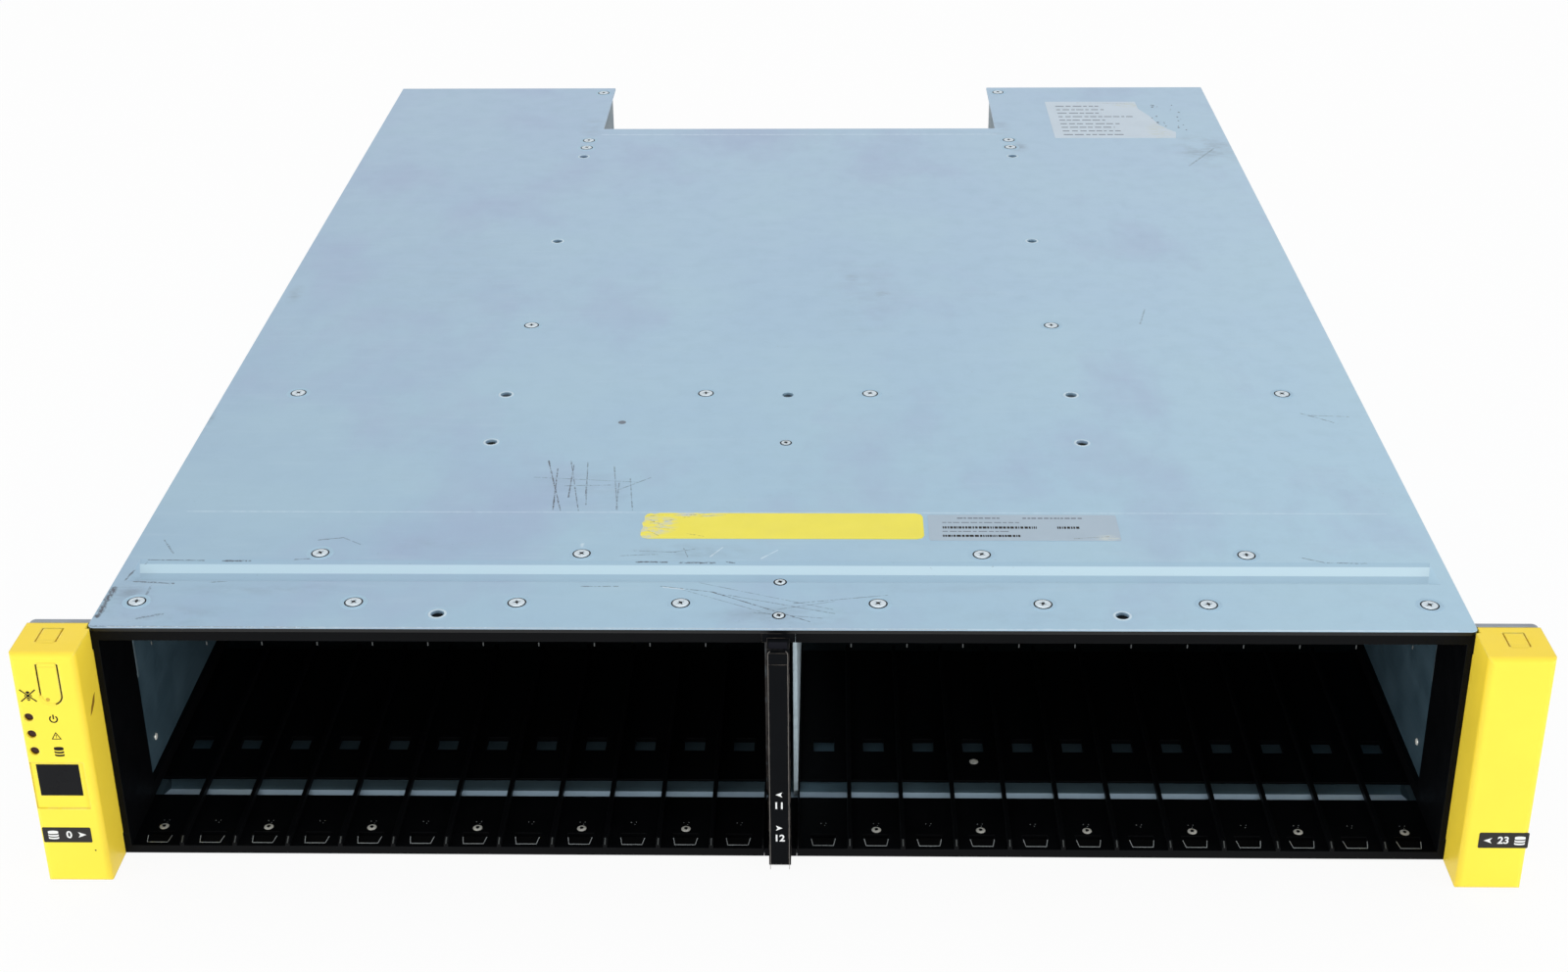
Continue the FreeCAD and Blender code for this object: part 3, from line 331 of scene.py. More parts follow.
STAINS = [
    # centre x, y, radius along x, along y, strength
    (-214, 20, 10, 22, 0.42), (-196, 8, 26, 8, 0.28), (-30, 51, 26, 7, 0.34), (2, 9, 30, 9, 0.34),
    (-70, 98, 26, 22, 0.15), (208, 470, 18, 30, 0.5), (104, 505, 8, 22, 0.38), (-108, 508, 9, 18, 0.3),
    (30, 275, 22, 60, 0.1), (-150, 300, 50, 80, 0.06), (95, 8, 60, 6, 0.12), (-120, 56, 26, 6, 0.12),
    (113, 475, 6, 10, 0.45), (101, 515, 5, 9, 0.4), (26, 296, 5, 7, 0.4), (39, 279, 5, 6, 0.4),
    (-216, 279, 4, 12, 0.4), (-222, 152, 3, 14, 0.5), (-170, 25, 40, 5, 0.22), (60, 27, 60, 4, 0.12),
]


def line_marks(g, lines, wobble, wider=1, stronger=1):
    """A mask for each line of a list."""
    for x0, y0, x1, y1, width, strength in lines:
        mask = g.segment((spot(x0, y0, TOP), spot(x1, y1, TOP)), wider * width, wobble)
        yield g.times(mask, min(1, stronger * strength))


def cover_steel():
    """The cover's zinc, paler to the right and rear, with its groove, scratches, stains and specks, painted
    highlights on the groove's far wall, folds and upper edges, and painted shade on the groove's near wall, the
    front cut edge and the underside.
    """
    g = Graph("cover_steel", COVER, 0.4, 0.25)
    place = g.axes(g.place)
    facing = g.facing()
    half = BODY_HALF * MM
    g.tint(g.ramp(place["X"], -0.2 * half, -half), COVER_LEFT)
    g.tint(g.ramp(place["X"], 0.1 * half, half), COVER_RIGHT)
    rearward = g.ramp(place["Y"], front_y + 60 * MM, -front_y)
    g.tint(g.times(rearward, 0.55), srgb(172, 190, 214))
    mottle = g.noise(9, detail=5, rough=0.65)
    g.tint(g.ramp(mottle, 0.45, 0.85, 0, 0.22), srgb(138, 164, 184))
    g.tint(g.ramp(g.noise(60, detail=3), 0.35, 0.7, 0, 0.25), srgb(172, 204, 214))
    clouds = g.noise(75, detail=6, rough=0.6, stretch=(1, 0.6, 1))
    g.tint(g.ramp(clouds, 0.52, 0.68, 0, 0.45), srgb(152, 166, 198))
    streaks = g.noise(3, detail=6, stretch=(0.12, 1, 1))
    g.tint(g.ramp(streaks, 0.55, 0.85, 0, 0.2), srgb(186, 208, 222))
    # painted highlight on the groove's far wall between those two places, a painted darker tone on the rest of
    # that wall, and painted shade on its near wall
    far_slope = g.times(g.ramp(facing["Y"], -0.04, -0.12), g.ramp(facing["Z"], 0.3, 0.6))
    near_slope = g.times(g.ramp(facing["Y"], 0.04, 0.12), g.ramp(facing["Z"], 0.3, 0.6))
    near, far = (front_y + y * MM for y in GROOVE_PAINTED_HIGHLIGHT)
    blur = 0.2 * MM
    lit = g.times(g.ramp(place["Y"], near - blur, near + blur), g.ramp(place["Y"], far + blur, far - blur))
    shine = g.mix(g.ramp(place["X"], -half, half), srgb(184, 212, 226), srgb(196, 222, 234))
    g.tint(g.times(g.times(far_slope, lit), 0.85), shine)
    painted_slope_shade = g.times(far_slope, g.math("SUBTRACT", 1, lit))
    g.tint(g.times(painted_slope_shade, 0.5), srgb(146, 176, 196))
    g.tint(g.times(near_slope, 0.3), srgb(120, 146, 160))
    wobble = g.math("SUBTRACT", g.noise(2.5, detail=4), 0.5)
    marks = g.either(line_marks(g, SCRATCHES, wobble, SCRATCH_WIDTH, SCRATCH_TONE))
    marks = g.times(marks, g.ramp(g.noise(0.9, detail=5), 0.36, 0.52))
    g.tint(marks, srgb(74, 82, 94))
    # pale lines: painted highlights on folds and the front edge, and rubbed lines
    highlights_and_rubs = g.either(line_marks(g, PAINTED_HIGHLIGHTS_AND_RUBS, wobble))
    g.tint(highlights_and_rubs, srgb(226, 238, 246))
    dirt = g.either(g.times(g.oval(spot(x, y, TOP), reach_x, reach_y), strength)
                     for x, y, reach_x, reach_y, strength in STAINS)
    smears = g.ramp(g.noise(7, detail=8, rough=0.7, stretch=(0.5, 1, 1)), 0.42, 0.68)
    g.tint(g.times(dirt, smears), srgb(92, 98, 108))
    specks = g.times(g.ramp(g.noise(1.1, detail=2), 0.7, 0.76), g.ramp(g.noise(45), 0.5, 0.65, 0, 0.4))
    g.tint(specks, srgb(104, 112, 124))
    upper = g.ramp(facing["Z"], 0.1, 0.3)
    # painted shade on the cover's front cut edge and on its underside
    front_cut_painted_shade = g.times(g.ramp(facing["Y"], -0.5, -0.9), g.ramp(place["Y"], front_y + 2 * MM, front_y + MM))
    g.tint(g.math("MAXIMUM", front_cut_painted_shade, g.ramp(facing["Z"], -0.3, -0.6)), srgb(9, 11, 13))
    # painted highlight along the edges of upward faces
    g.tint(g.times(g.times(g.wear(0.25), 0.5), upper), srgb(214, 230, 240))
    gloss = g.ramp(g.math("ADD", mottle, rearward), 0.4, 1.6, 0.36, 0.5)
    fine = g.noise(0.35, detail=2, stretch=(0.3, 1, 1))
    normal = g.bump(g.math("SUBTRACT", fine, g.times(marks, 1.5)), 0.12, 0.03, 0.3)
    return g.finish(gloss, normal)


def divider_steel():
    """Painted highlight on the divider's face right of the post, and painted shade on its face left of it."""
    g = Graph("divider_steel", srgb(205, 228, 240), 0.4, 0.3)
    g.shade = g.mix(g.ramp(g.axes(g.place)["X"], -0.5 * MM, 0.5 * MM), srgb(46, 42, 40), srgb(214, 234, 244))
    g.tint(g.ramp(g.noise(5, detail=5), 0.5, 0.75, 0, 0.4), srgb(120, 138, 148))
    gloss = g.ramp(g.noise(9), 0.3, 0.7, 0.34, 0.46)
    return g.finish(gloss, g.bump(g.noise(0.5, detail=2), 0.2, 0.03, 0.3))


# ---- Materials by the record's slots ----
YELLOW = srgb(252, 232, 72)
# more orange yellow for the caps' sides and top: painted shade
YELLOW_SIDE_PAINTED_SHADE = srgb(255, 224, 66)

BUILDERS = {
    "galvanised_sheet": (sheet_steel, srgb(160, 184, 200), srgb(142, 164, 182), dict(inside=painted_shade_inside_body)),
    "ear_steel": (sheet_steel, srgb(150, 158, 166), srgb(128, 134, 142), {}),
    "module_sheet": (sheet_steel, srgb(178, 186, 194), srgb(158, 166, 176), {}),
    "guard_wire": (sheet_steel, srgb(190, 194, 198), srgb(160, 164, 170), dict(roughness=0.3)),
    "black_moulding": (moulded_plastic, srgb(5, 6, 8), srgb(30, 34, 36),
                       dict(roughness=0.5, specular=0.08, tone=0.3, rub=0.3)),
    "connector_plastic": (moulded_plastic, srgb(22, 22, 24), srgb(60, 60, 64), dict(specular=0.3)),
    "yellow_plastic": (moulded_plastic, YELLOW, srgb(255, 246, 150),
                       dict(roughness=0.45, edge=0.8, tone=0.05, specular=0.35, side_painted_shade=YELLOW_SIDE_PAINTED_SHADE)),
    "fan_plastic": (moulded_plastic, srgb(18, 18, 20), srgb(60, 60, 64), dict(specular=0.3)),
    "rocker_plastic": (moulded_plastic, srgb(16, 16, 18), srgb(54, 54, 58), dict(roughness=0.25)),
    "lever_plastic": (moulded_plastic, srgb(26, 28, 32), srgb(74, 76, 82), dict(specular=0.35)),
    "smoked_window": (plain, srgb(20, 21, 24), 0.3, dict(size=9, specular=0.12)),
    "lamp_lens": (plain, srgb(58, 26, 14), 0.2, dict(specular=0.3)),
    "brass_standoff": (plain, srgb(196, 164, 92), 0.3, dict(metallic=1)),
    "port_shell": (plain, srgb(196, 198, 200), 0.22, dict(metallic=1)),
}
MATERIALS = {slot: make(slot, colour, second, **rest)
             for slot, (make, colour, second, rest) in BUILDERS.items()}
MATERIALS["circuit_board"] = circuit_board("circuit_board")
OWN = {
    "top_cover": cover_steel(),
    # the post's pale rubbed edges: partly wear, partly a painted highlight along its edges
    "centre_post": moulded_plastic("post_plastic", srgb(10, 12, 15), srgb(120, 112, 104), roughness=0.55,
                                   specular=0.05, edge=0.22, tone=0.3, rub=0.9),
    "centre_divider": divider_steel(),
    # darker copies of steel and solder mask on the midplane frame and board: painted shade deep inside the body
    "midplane_frame": plain("frame_steel_painted_shade", srgb(60, 68, 76), 0.5, 0.3, size=9),
    "midplane_board": plain("midplane_mask_painted_shade", srgb(12, 34, 20), 0.5, size=9),
}
for row in frame["record"]["subparts"]:
    cad_object = frame["nodes"][row["node"]]
    cad_object.data.materials.clear()
    cad_object.data.materials.append(OWN.get(row["node"]) or MATERIALS[row["material_slot"]])

SCREW = plain("screw_steel", srgb(206, 218, 226), 0.3, 0.7)
# painted shade in screw recesses and in the grooves round screw heads
DARK = plain("recess_painted_shade", srgb(14, 15, 18), 0.7, specular=0.2)
PRESSED = plain("pressed_sheet", srgb(160, 192, 213), 0.42, 0.25, size=6, tone=0.06)
RIM = plain("bright_rim", srgb(196, 216, 228), 0.4, 0.3)
LABEL_BLACK = plain("label_black", srgb(38, 36, 36), 0.5, size=6, specular=0.3)
PRINT_BLACK = plain("print_black", srgb(24, 21, 18), 0.6, specular=0.2)
PRINT_WHITE = plain("print_white", srgb(240, 242, 242), 0.6)
PRINT_GREY = plain("print_grey", srgb(112, 122, 134), 0.6)
# painted highlight on the latch lips, and the colour of the small tray dots
LATCH_HIGHLIGHT_AND_DOTS = plain("latch_highlight_and_dots", srgb(200, 208, 210), 0.45)
# lighter than bare zinc: painted light on screws and rivets that sit in shade under the cover
SCREW_PAINTED_LIGHT = plain("tray_screw_painted_light", srgb(240, 240, 232), 0.35, 0.2)
LAMP_GREEN = plain("lamp_green", srgb(120, 150, 120), 0.2)
CAP_YELLOW = MATERIALS["yellow_plastic"]


# ---- Building pieces ----
PRINT = 0.03  # thickness of printed marks


def add(name, data):
    """A new object in the scene."""
    made = bpy.data.objects.new(name, data)
    bpy.context.scene.collection.objects.link(made)
    return made


def final_mesh(holder):
    """The mesh of an object after its modifiers; the object is then removed."""
    bpy.context.view_layer.update()
    data = bpy.data.meshes.new_from_object(holder.evaluated_get(bpy.context.evaluated_depsgraph_get()))
    bpy.data.objects.remove(holder)
    return data


def piece(name, mesh, material, body="chassis", place=None, matrix=None):
    """An object that moves with a body of the frame, the chassis if none is named."""
    made = add(name, mesh)
    if not mesh.materials:
        mesh.materials.append(material)
    if matrix is not None:
        made.matrix_world = matrix
    elif place is not None:
        made.location = place
    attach(made, body)
    return made


def lathe(name, profile, sides=40):
    """A mesh turned round Z from (radius, height) points in millimetres."""
    rings = []
    mesh = bmesh.new()
    for radius, height in profile:
        if radius == 0:
            rings.append([mesh.verts.new((0, 0, height * MM))])
            continue
        reach = radius * MM
        angles = [2 * pi * number / sides for number in range(sides)]
        rings.append([mesh.verts.new((reach * cos(angle), reach * sin(angle), height * MM))
                      for angle in angles])
    for low, high in zip(rings, rings[1:]):
        for number in range(sides):
            after = (number + 1) % sides
            unique = list(dict.fromkeys((low[number % len(low)], low[after % len(low)],
                                         high[after % len(high)], high[number % len(high)])))
            if len(unique) > 2:
                mesh.faces.new(unique)
    bmesh.ops.recalc_face_normals(mesh, faces=mesh.faces)
    data = bpy.data.meshes.new(name)
    mesh.to_mesh(data)
    mesh.free()
    for face in data.polygons:
        face.use_smooth = True
    data.set_sharp_from_angle(angle=radians(35))
    return data


def from_curve(name, curve):
    """The mesh of a curve, which is then removed."""
    data = final_mesh(add(name, curve))
    bpy.data.curves.remove(curve)
    data.name = name
    return data


def slab(name, outlines, height):
    """A thin plate from closed outlines in the XY plane, in millimetres, with its top at height."""
    curve = bpy.data.curves.new(name, "CURVE")
    curve.dimensions = "2D"
    curve.fill_mode = "BOTH"
    curve.extrude = height * MM / 2
    for outline in outlines:
        spline = curve.splines.new("POLY")
        spline.points.add(len(outline) - 1)
        for point, (x, y) in zip(spline.points, outline):
            point.co = (x * MM, y * MM, 0, 1)
        spline.use_cyclic_u = True
    data = from_curve(name, curve)
    data.transform(Matrix.Translation((0, 0, height * MM / 2)))
    return data


def words(name, text, size):
    """Flat figures, size millimetres high, centred on their own place."""
    curve = bpy.data.curves.new(name, "FONT")
    curve.body = text
    curve.size = size * MM * 1.4
    curve.align_x = "CENTER"
    curve.align_y = "CENTER"
    curve.offset = 0.035 * size * MM
    curve.extrude = PRINT * MM / 2
    data = from_curve(name, curve)
    data.transform(Matrix.Translation((0, 0, PRINT * MM / 2)))
    return data


def rounded_outline(x0, x1, y0, y1, radius, steps=6):
    """The outline of a rectangle with round corners."""
    points = []
    for centre_x, centre_y, first in ((x1 - radius, y1 - radius, 0), (x0 + radius, y1 - radius, 90),
                                      (x0 + radius, y0 + radius, 180), (x1 - radius, y0 + radius, 270)):
        for number in range(steps + 1):
            angle = radians(first + 90 * number / steps)
            points.append((centre_x + radius * cos(angle), centre_y + radius * sin(angle)))
    return points


def arc_points(x, y, radius, first, last, steps=20):
    """Points on an arc between two angles in degrees."""
    points = []
    for number in range(steps + 1):
        angle = radians(first + (last - first) * number / steps)
        points.append((x + radius * cos(angle), y + radius * sin(angle)))
    return points


def band(points, width):
    """The outline of a stroke of one width along points."""
    left, right = [], []
    for number, (x, y) in enumerate(points):
        before = points[max(number - 1, 0)]
        after = points[min(number + 1, len(points) - 1)]
        run = Vector((after[0] - before[0], after[1] - before[1])).normalized() * width / 2
        left.append((x - run.y, y + run.x))
        right.append((x + run.y, y - run.x))
    return left + right[::-1]


def turned(degrees, axis):
    """A turn round one axis."""
    return Matrix.Rotation(radians(degrees), 4, axis)


FACING_FRONT = turned(90, "X")      # local X right, local Y up, local Z forwards
FACING_BACK = turned(180, "Z") @ FACING_FRONT


def on_front(x, y, z, turn=FACING_FRONT):
    """Places a flat piece on an upright face, with its local origin at the place."""
    return Matrix.Translation(spot(x, y, z)) @ turn


def cross_recess(head, reach, width, depth, top):
    """Cuts a cross into a screw head's mesh."""
    cutter = bmesh.new()
    for turn in (0, 90):
        size = Matrix.Diagonal((2 * reach * MM, width * MM, 2 * depth * MM, 1))
        where = Matrix.Translation((0, 0, top * MM)) @ turned(turn, "Z") @ size
        bmesh.ops.create_cube(cutter, size=1, matrix=where)
    cutter_mesh = bpy.data.meshes.new("cutter")
    cutter.to_mesh(cutter_mesh)
    cutter.free()
    body = add("head", head)
    tool = add("cutter", cutter_mesh)
    change = body.modifiers.new("cross", "BOOLEAN")
    change.operation = "DIFFERENCE"
    change.object = tool
    change.solver = "EXACT"
    change.use_self = True
    result = final_mesh(body)
    bpy.data.objects.remove(tool)
    result.set_sharp_from_angle(angle=radians(30))
    return result


# ---- Screws and holes of the cover ----
head = lathe("cover_screw", [(0, 0), (2.6, 0), (2.6, 0.1), (2.35, 0.24), (1.9, 0.28), (1.5, 0.24), (0, 0.24)])
cover_screw = cross_recess(head, 1.25, 0.5, 0.22, 0.26)
# screw_dark and the dark rings round the heads are flat pieces: painted shade in the cross recesses and round
# the heads
screw_dark = lathe("screw_dark", [(0, 0.02), (0.55, 0.02), (0.62, 0.285), (0, 0.285)], 12)
screw_groove_shade = lathe("screw_groove_shade", [(2.62, 0), (2.66, 0.035), (3.05, 0.035), (3.1, 0)])
pressed_ring = lathe("pressed_ring", [(3.1, 0), (3.25, 0.1), (3.7, 0.1), (4.1, 0.02), (4.3, 0.09), (4.6, 0)])
small_head = cross_recess(lathe("small_head", [(0, 0), (1.7, 0), (1.7, 0.12), (1.5, 0.2), (0, 0.2)], 28),
                          1, 0.45, 0.2, 0.22)
small_groove_shade = lathe("small_groove_shade", [(1.72, 0), (1.76, 0.03), (2.2, 0.03), (2.25, 0)], 28)
hole_rim = lathe("hole_rim", [(2.24, -0.05), (2.24, 0.06), (2.5, 0.08), (2.85, 0.05), (3, 0)], 36)
hole_ring = lathe("hole_ring", [(3.5, 0), (3.65, 0.06), (3.9, 0)], 36)
bay_pitch = 17.8
first_edge = 5.4  # from the middle to the first bay


def bay_centre(number):
    """Distance of a bay's middle from the shelf's, counted outwards from 0."""
    return first_edge + (number + 0.5) * bay_pitch


COVER_SCREWS = [(bay_centre(number), 16.8) for number in (1, 4, 7, 11)]
COVER_SCREWS += [(bay_centre(number), 49.4) for number in (3, 8)]
COVER_SCREWS += [(bay_centre(number), 177.4) for number in (1, 10)]
COVER_SCREWS += [(108.8, y) for y in (244.5, 475, 486.5, 568.5)]
SMALL_SCREWS = [(0, 9.1), (0, 30.5), (0, 134)]
OPEN_HOLES = [(110.3, 9.6), (110.3, 134.3), (110.3, 176.2), (108.8, 342), (108.8, 461)]
SIDES = ((-1, "left"), (1, "right"))


def head_on_cover(name, parts, x, y):
    """Places the meshes of one screw or rim on the cover."""
    where = Matrix.Translation(spot(x, y, TOP))
    for suffix, mesh, material, turn in parts:
        piece(f"{suffix}_{name}", mesh, material, matrix=where @ Matrix.Rotation(turn, 4, "Z"))


for side, word in SIDES:
    for number, (x, y) in enumerate(COVER_SCREWS):
        turn = uniform(0, pi / 2)
        parts = [("cover_screw", cover_screw, SCREW, turn), ("screw_dark", screw_dark, DARK, 0),
                 ("screw_groove_shade", screw_groove_shade, DARK, 0), ("pressed_ring", pressed_ring, PRESSED, 0)]
        head_on_cover(f"{word}_{number}", parts, side * x, y)
    for number, (x, y) in enumerate(OPEN_HOLES):
        parts = [("hole_rim", hole_rim, RIM, 0), ("hole_ring", hole_ring, PRESSED, 0)]
        head_on_cover(f"{word}_{number}", parts, side * x, y)
for number, (x, y) in enumerate(SMALL_SCREWS):
    parts = [("small_head", small_head, SCREW, 0.4), ("small_groove_shade", small_groove_shade, DARK, 0),
             ("small_dark", screw_dark, DARK, 0)]
    head_on_cover(f"{number}", parts, x, y)
pit = lathe("cover_pit", [(0, 0.03), (0.9, 0.03), (1.3, 0.05), (1.5, 0)], 20)
piece("cover_pit", pit, PRINT_GREY, place=spot(-62.7, 151.3, TOP))


# ---- Stickers ----
def flat(x, y):
    """A place on a sticker, as a vector in metres."""
    return Vector((x * MM, y * MM, 0))


def worn_sticker(name, colour, ovals, lines):
    """Sticker film with rubbed patches, dark scratches and a soft unevenness."""
    g = Graph(name, colour, 0.5, specular=0.3)
    g.tint(g.ramp(g.noise(14, detail=4), 0.35, 0.7, 0, 0.1), shaded(colour, 0.5))
    streaks = g.ramp(g.noise(2.2, detail=7, rough=0.7, stretch=(0.35, 1, 1)), 0.46, 0.6)
    rubbed = g.either(g.oval(flat(x, y), reach_x, reach_y) for x, y, reach_x, reach_y in ovals)
    g.tint(g.times(g.ramp(rubbed, 0.1, 0.6), streaks), srgb(196, 206, 206))
    wobble = g.math("SUBTRACT", g.noise(2, detail=4), 0.5)
    scratched = g.either(g.segment((flat(x0, y0), flat(x1, y1)), 0.22, wobble) for x0, y0, x1, y1 in lines)
    g.tint(g.times(scratched, g.ramp(g.noise(1.2), 0.38, 0.55)), srgb(86, 84, 62))
    return g.finish(g.ramp(g.noise(8), 0.3, 0.7, 0.44, 0.58), g.bump(g.noise(1.5), 0.15, 0.03))


sticker_yellow = worn_sticker(
    "sticker_yellow", srgb(244, 232, 88), [(-44.5, 70, 10, 9), (-46, 64, 6, 5), (-30, 77.5, 12, 2.5)],
    [(-47.5, 76, -40, 77.2), (-38, 76.6, -24, 77.6), (-46, 71.5, -38, 73.5), (-44, 68, -37, 66),
     (-33, 63.5, -27, 61.5), (-47, 66, -42.5, 62), (-36, 75, -20, 77), (-46.5, 73.5, -41, 69)])
sticker_grey = worn_sticker("sticker_grey", srgb(172, 190, 205), [(112, 61, 6, 3)], [(100, 60.5, 112, 62)])
sticker_white = worn_sticker("sticker_white", srgb(200, 214, 226), [(188, 500, 8, 18), (180, 545, 14, 6)],
                             [(184, 540, 188, 528), (150, 549, 176, 547.5)])
torn_corner = [(-48.8, 62.5), (-48.1, 60.8), (-46.3, 60), (46.3, 60), (48.1, 60.8), (48.8, 62.5),
               (48.8, 75.9), (48.1, 77.7), (46.3, 78.4), (-25, 78.4), (-27.5, 77.9), (-30, 78.4), (-43, 78.4),
               (-45, 77.7), (-46.2, 78.2), (-47.6, 77.5), (-48.3, 75.6), (-48.1, 73), (-48.9, 71),
               (-48.2, 68.2), (-48.8, 66)]
torn_side = [(133, 489.2), (195.4, 488.9), (196.7, 498.5), (193.3, 503.3), (189.3, 511.5), (186.1, 526.5),
             (181.9, 538.4), (181.8, 550.6), (133, 550.8)]


def on_cover(name, outlines, thickness, material, height=0):
    """A flat piece on the cover, at a height over it."""
    return piece(name, slab(name, outlines, thickness), material, place=spot(0, 0, TOP + height))


FILM = 0.1  # thickness of the stickers
on_cover("sticker_front_yellow", [torn_corner], 0.12, sticker_yellow)
on_cover("sticker_front_grey", [rounded_outline(50.5, 116, 59, 77.5, 0.8)], FILM, sticker_grey)
on_cover("sticker_rear_white", [torn_side], FILM, sticker_white)


def dashes(x0, x1, y, height, short, long, gap):
    """Outlines of a row of small bars of uneven length, which say nothing."""
    outlines = []
    x = x0
    while x < x1:
        end = min(x + uniform(short, long), x1)
        outlines.append([(x, y), (end, y), (end, y + height), (x, y + height)])
        x = end + uniform(0.5, 1) * gap
    return outlines


rows = dashes(55.4, 87.8, 67.5, 1.5, 0.3, 1.3, 0.45) + dashes(94.9, 102.6, 67.5, 1.5, 0.3, 1.1, 0.4)
rows += dashes(55.2, 81.7, 61.6, 1.4, 0.3, 1.5, 0.45)
on_cover("sticker_grey_bars", rows, PRINT, PRINT_BLACK, FILM)
rows = dashes(60.7, 75.6, 74.6, 0.8, 0.8, 2.2, 0.6) + dashes(83.4, 104, 74.6, 0.8, 0.6, 1.8, 0.6)
rows += dashes(55.4, 82, 71.6, 0.5, 1, 3, 0.7) + dashes(55.2, 78, 65.2, 0.5, 1, 3, 0.7)
on_cover("sticker_grey_lines", rows, PRINT, PRINT_GREY, FILM)
rows = []
for number in range(9):
    y = 494.0 + 6.0 * number
    rows += dashes(138, uniform(160, 178), y, 1.2, 1.5, 5, 1.4)
on_cover("sticker_white_lines", rows, PRINT, PRINT_GREY, FILM)
specks = []
for _ in range(26):
    x = uniform(186, 204)
    y = uniform(496, 546)
    reach = uniform(0.25, 0.9)
    specks.append([(x + reach * uniform(0.5, 1) * cos(angle),
                    y + 1.6 * reach * uniform(0.5, 1) * sin(angle))
                   for angle in (0, 0.9, 1.9, 2.8, 3.7, 4.7, 5.5)])
on_cover("sticker_residue", specks, 0.05, PRINT_GREY, 0.01)

# ---- Marks and small parts of the ear caps ----
cap_face = limits("end_cap_left")[2]


def disc_stack(width, height):
    """Outlines of three stacked discs, the usual sign for drives."""
    outlines = []
    step = height / 3
    bow = 0.34 * step
    for number in range(3):
        rear = height / 2 - (number + 0.2) * step
        front = rear - 0.60 * step
        lift = bow if number == 0 else -bow
        turns = [radians(angle) for angle in range(0, 181, 15)]
        upper = [(-width / 2 * cos(turn), rear + lift * sin(turn)) for turn in turns]
        lower = [(-width / 2 * cos(turn), front - bow * sin(turn)) for turn in turns]
        outlines.append(upper + lower[::-1])
    return outlines


def triangle(width, height, direction):
    """An arrow head that points along direction, 1 right or -1 left, with a notched back."""
    tip = direction * width / 2
    return [(-tip, height / 2), (tip, 0), (-tip, -height / 2), (-tip / 2, 0)]


def front_piece(name, outlines, material, body, x, z, lift=0, thickness=PRINT, y=None):
    """A flat mark on the cap's front, or on another face that looks forwards."""
    face = cap_face if y is None else y
    return piece(name, slab(name, outlines, thickness), material, body, matrix=on_front(x, face - lift, z))


# crossed bell, power, fault and drive signs
BELL_PLACE = (-237.3, 72.7)
LAYER = 0.01  # thickness of the bell's cross and of the gap round it
bell = [(-1.75, -1.25), (-1.25, -0.6), (-1.05, 0.6), (-0.5, 1.45), (0, 1.7), (0.5, 1.45), (1.05, 0.6),
        (1.25, -0.6), (1.75, -1.25)]
clapper = arc_points(0, -1.45, 0.5, 180, 360, 10)
front_piece("mark_bell", [bell, clapper], PRINT_BLACK, "cap_left", *BELL_PLACE)
for name, material, reach_x, reach_z, width, lift in (
        ("mark_bell_gap", CAP_YELLOW, 1.9, 1.6, 0.8, PRINT),
        ("mark_bell_cross", PRINT_BLACK, 2.5, 2.2, 0.42, PRINT + LAYER)):
    strokes = [band([(-reach_x, slope * reach_z), (reach_x, -slope * reach_z)], width) for slope in (1, -1)]
    front_piece(name, strokes, material, "cap_left", *BELL_PLACE, lift=lift, thickness=LAYER)
power = [band(arc_points(0, 0, 1.2, 125, 415, 30), 0.46), band([(0, 0), (0, 1.65)], 0.46)]
fault = [[(-1.65, -1.3), (1.65, -1.3), (0, 1.5)], [(-1.15, -1.02), (1.15, -1.02), (0, 0.95)][::-1],
         band([(0, -0.25), (0, 0.45)], 0.26), arc_points(0, -0.62, 0.16, 0, 330, 8)]
for name, outlines, x, z in (("mark_power", power, -230.5, 63.9), ("mark_fault", fault, -230.6, 57.5),
                             ("mark_drives", disc_stack(3.1, 3.4), -230.5, 51.5)):
    front_piece(name, outlines, PRINT_BLACK, "cap_left", x, z)

LABEL = 0.08  # thickness of the bay labels
BAY_LABELS = (
    # side, half width and height, middle, places of discs and arrow, arrow's direction, figures and place
    ("left", 7.95, 2.95, -232.7, 19, (-237.2, 19), (-227.7, 19.1), 1, "figure", "0", (-232, 19)),
    ("right", 8, 3, 233.6, 19.75, (238.8, 19.65), (228.5, 19.7), -1, "figures", "23", (233.5, 19.7)),
)
for word, half_x, half_z, x, z, discs, arrow, direction, name, text, figures in BAY_LABELS:
    label, body = "label_" + word, "cap_" + word
    front_piece(label, [rounded_outline(-half_x, half_x, -half_z, half_z, 0.45)], LABEL_BLACK, body, x, z,
                thickness=LABEL)
    front_piece(label + "_drives", disc_stack(3.4, 3.1), PRINT_WHITE, body, *discs, lift=LABEL)
    front_piece(label + "_arrow", [triangle(2.7, 2.2, direction)], PRINT_WHITE, body, *arrow, lift=LABEL)
    name = label + "_" + name
    piece(name, words(name, text, 2.7), PRINT_WHITE, body,
          matrix=on_front(figures[0], cap_face - LABEL, figures[1]))
front_piece("cap_dot", [arc_points(0, 0, 0.3, 0, 330, 10)], PRINT_BLACK, "cap_left", -224.2, 12.9)

# the mute key and the release tabs: their slots are closed at the root, and dark elsewhere; in the key's slots
# the dark is a strip of painted shade
CUT = 0.5  # width of the slots round the key
CAP_WALL = 1.8
SKIN = 0.03  # thickness of the skin over a closed slot
SLIT_PAINTED_SHADE = plain("slit_painted_shade", srgb(52, 36, 12), 0.7, specular=0.1)
SLIT = 0.46  # width of the painted shade line in a slot
SLIT_DEPTH = 0.1  # of its front under the cap's
key = limits("mute_button")
key_half = (key[1] - key[0]) / 2
key_round = key[4] + key_half  # middle of the key's round end
key_place = ((key[0] + key[1]) / 2, key_round)
slot_middle = key_half + CUT / 2
dimple = lathe("key_dimple", [(0, 0.02), (0.28, 0.02), (0.5, 0.1), (0.72, 0)], 20)
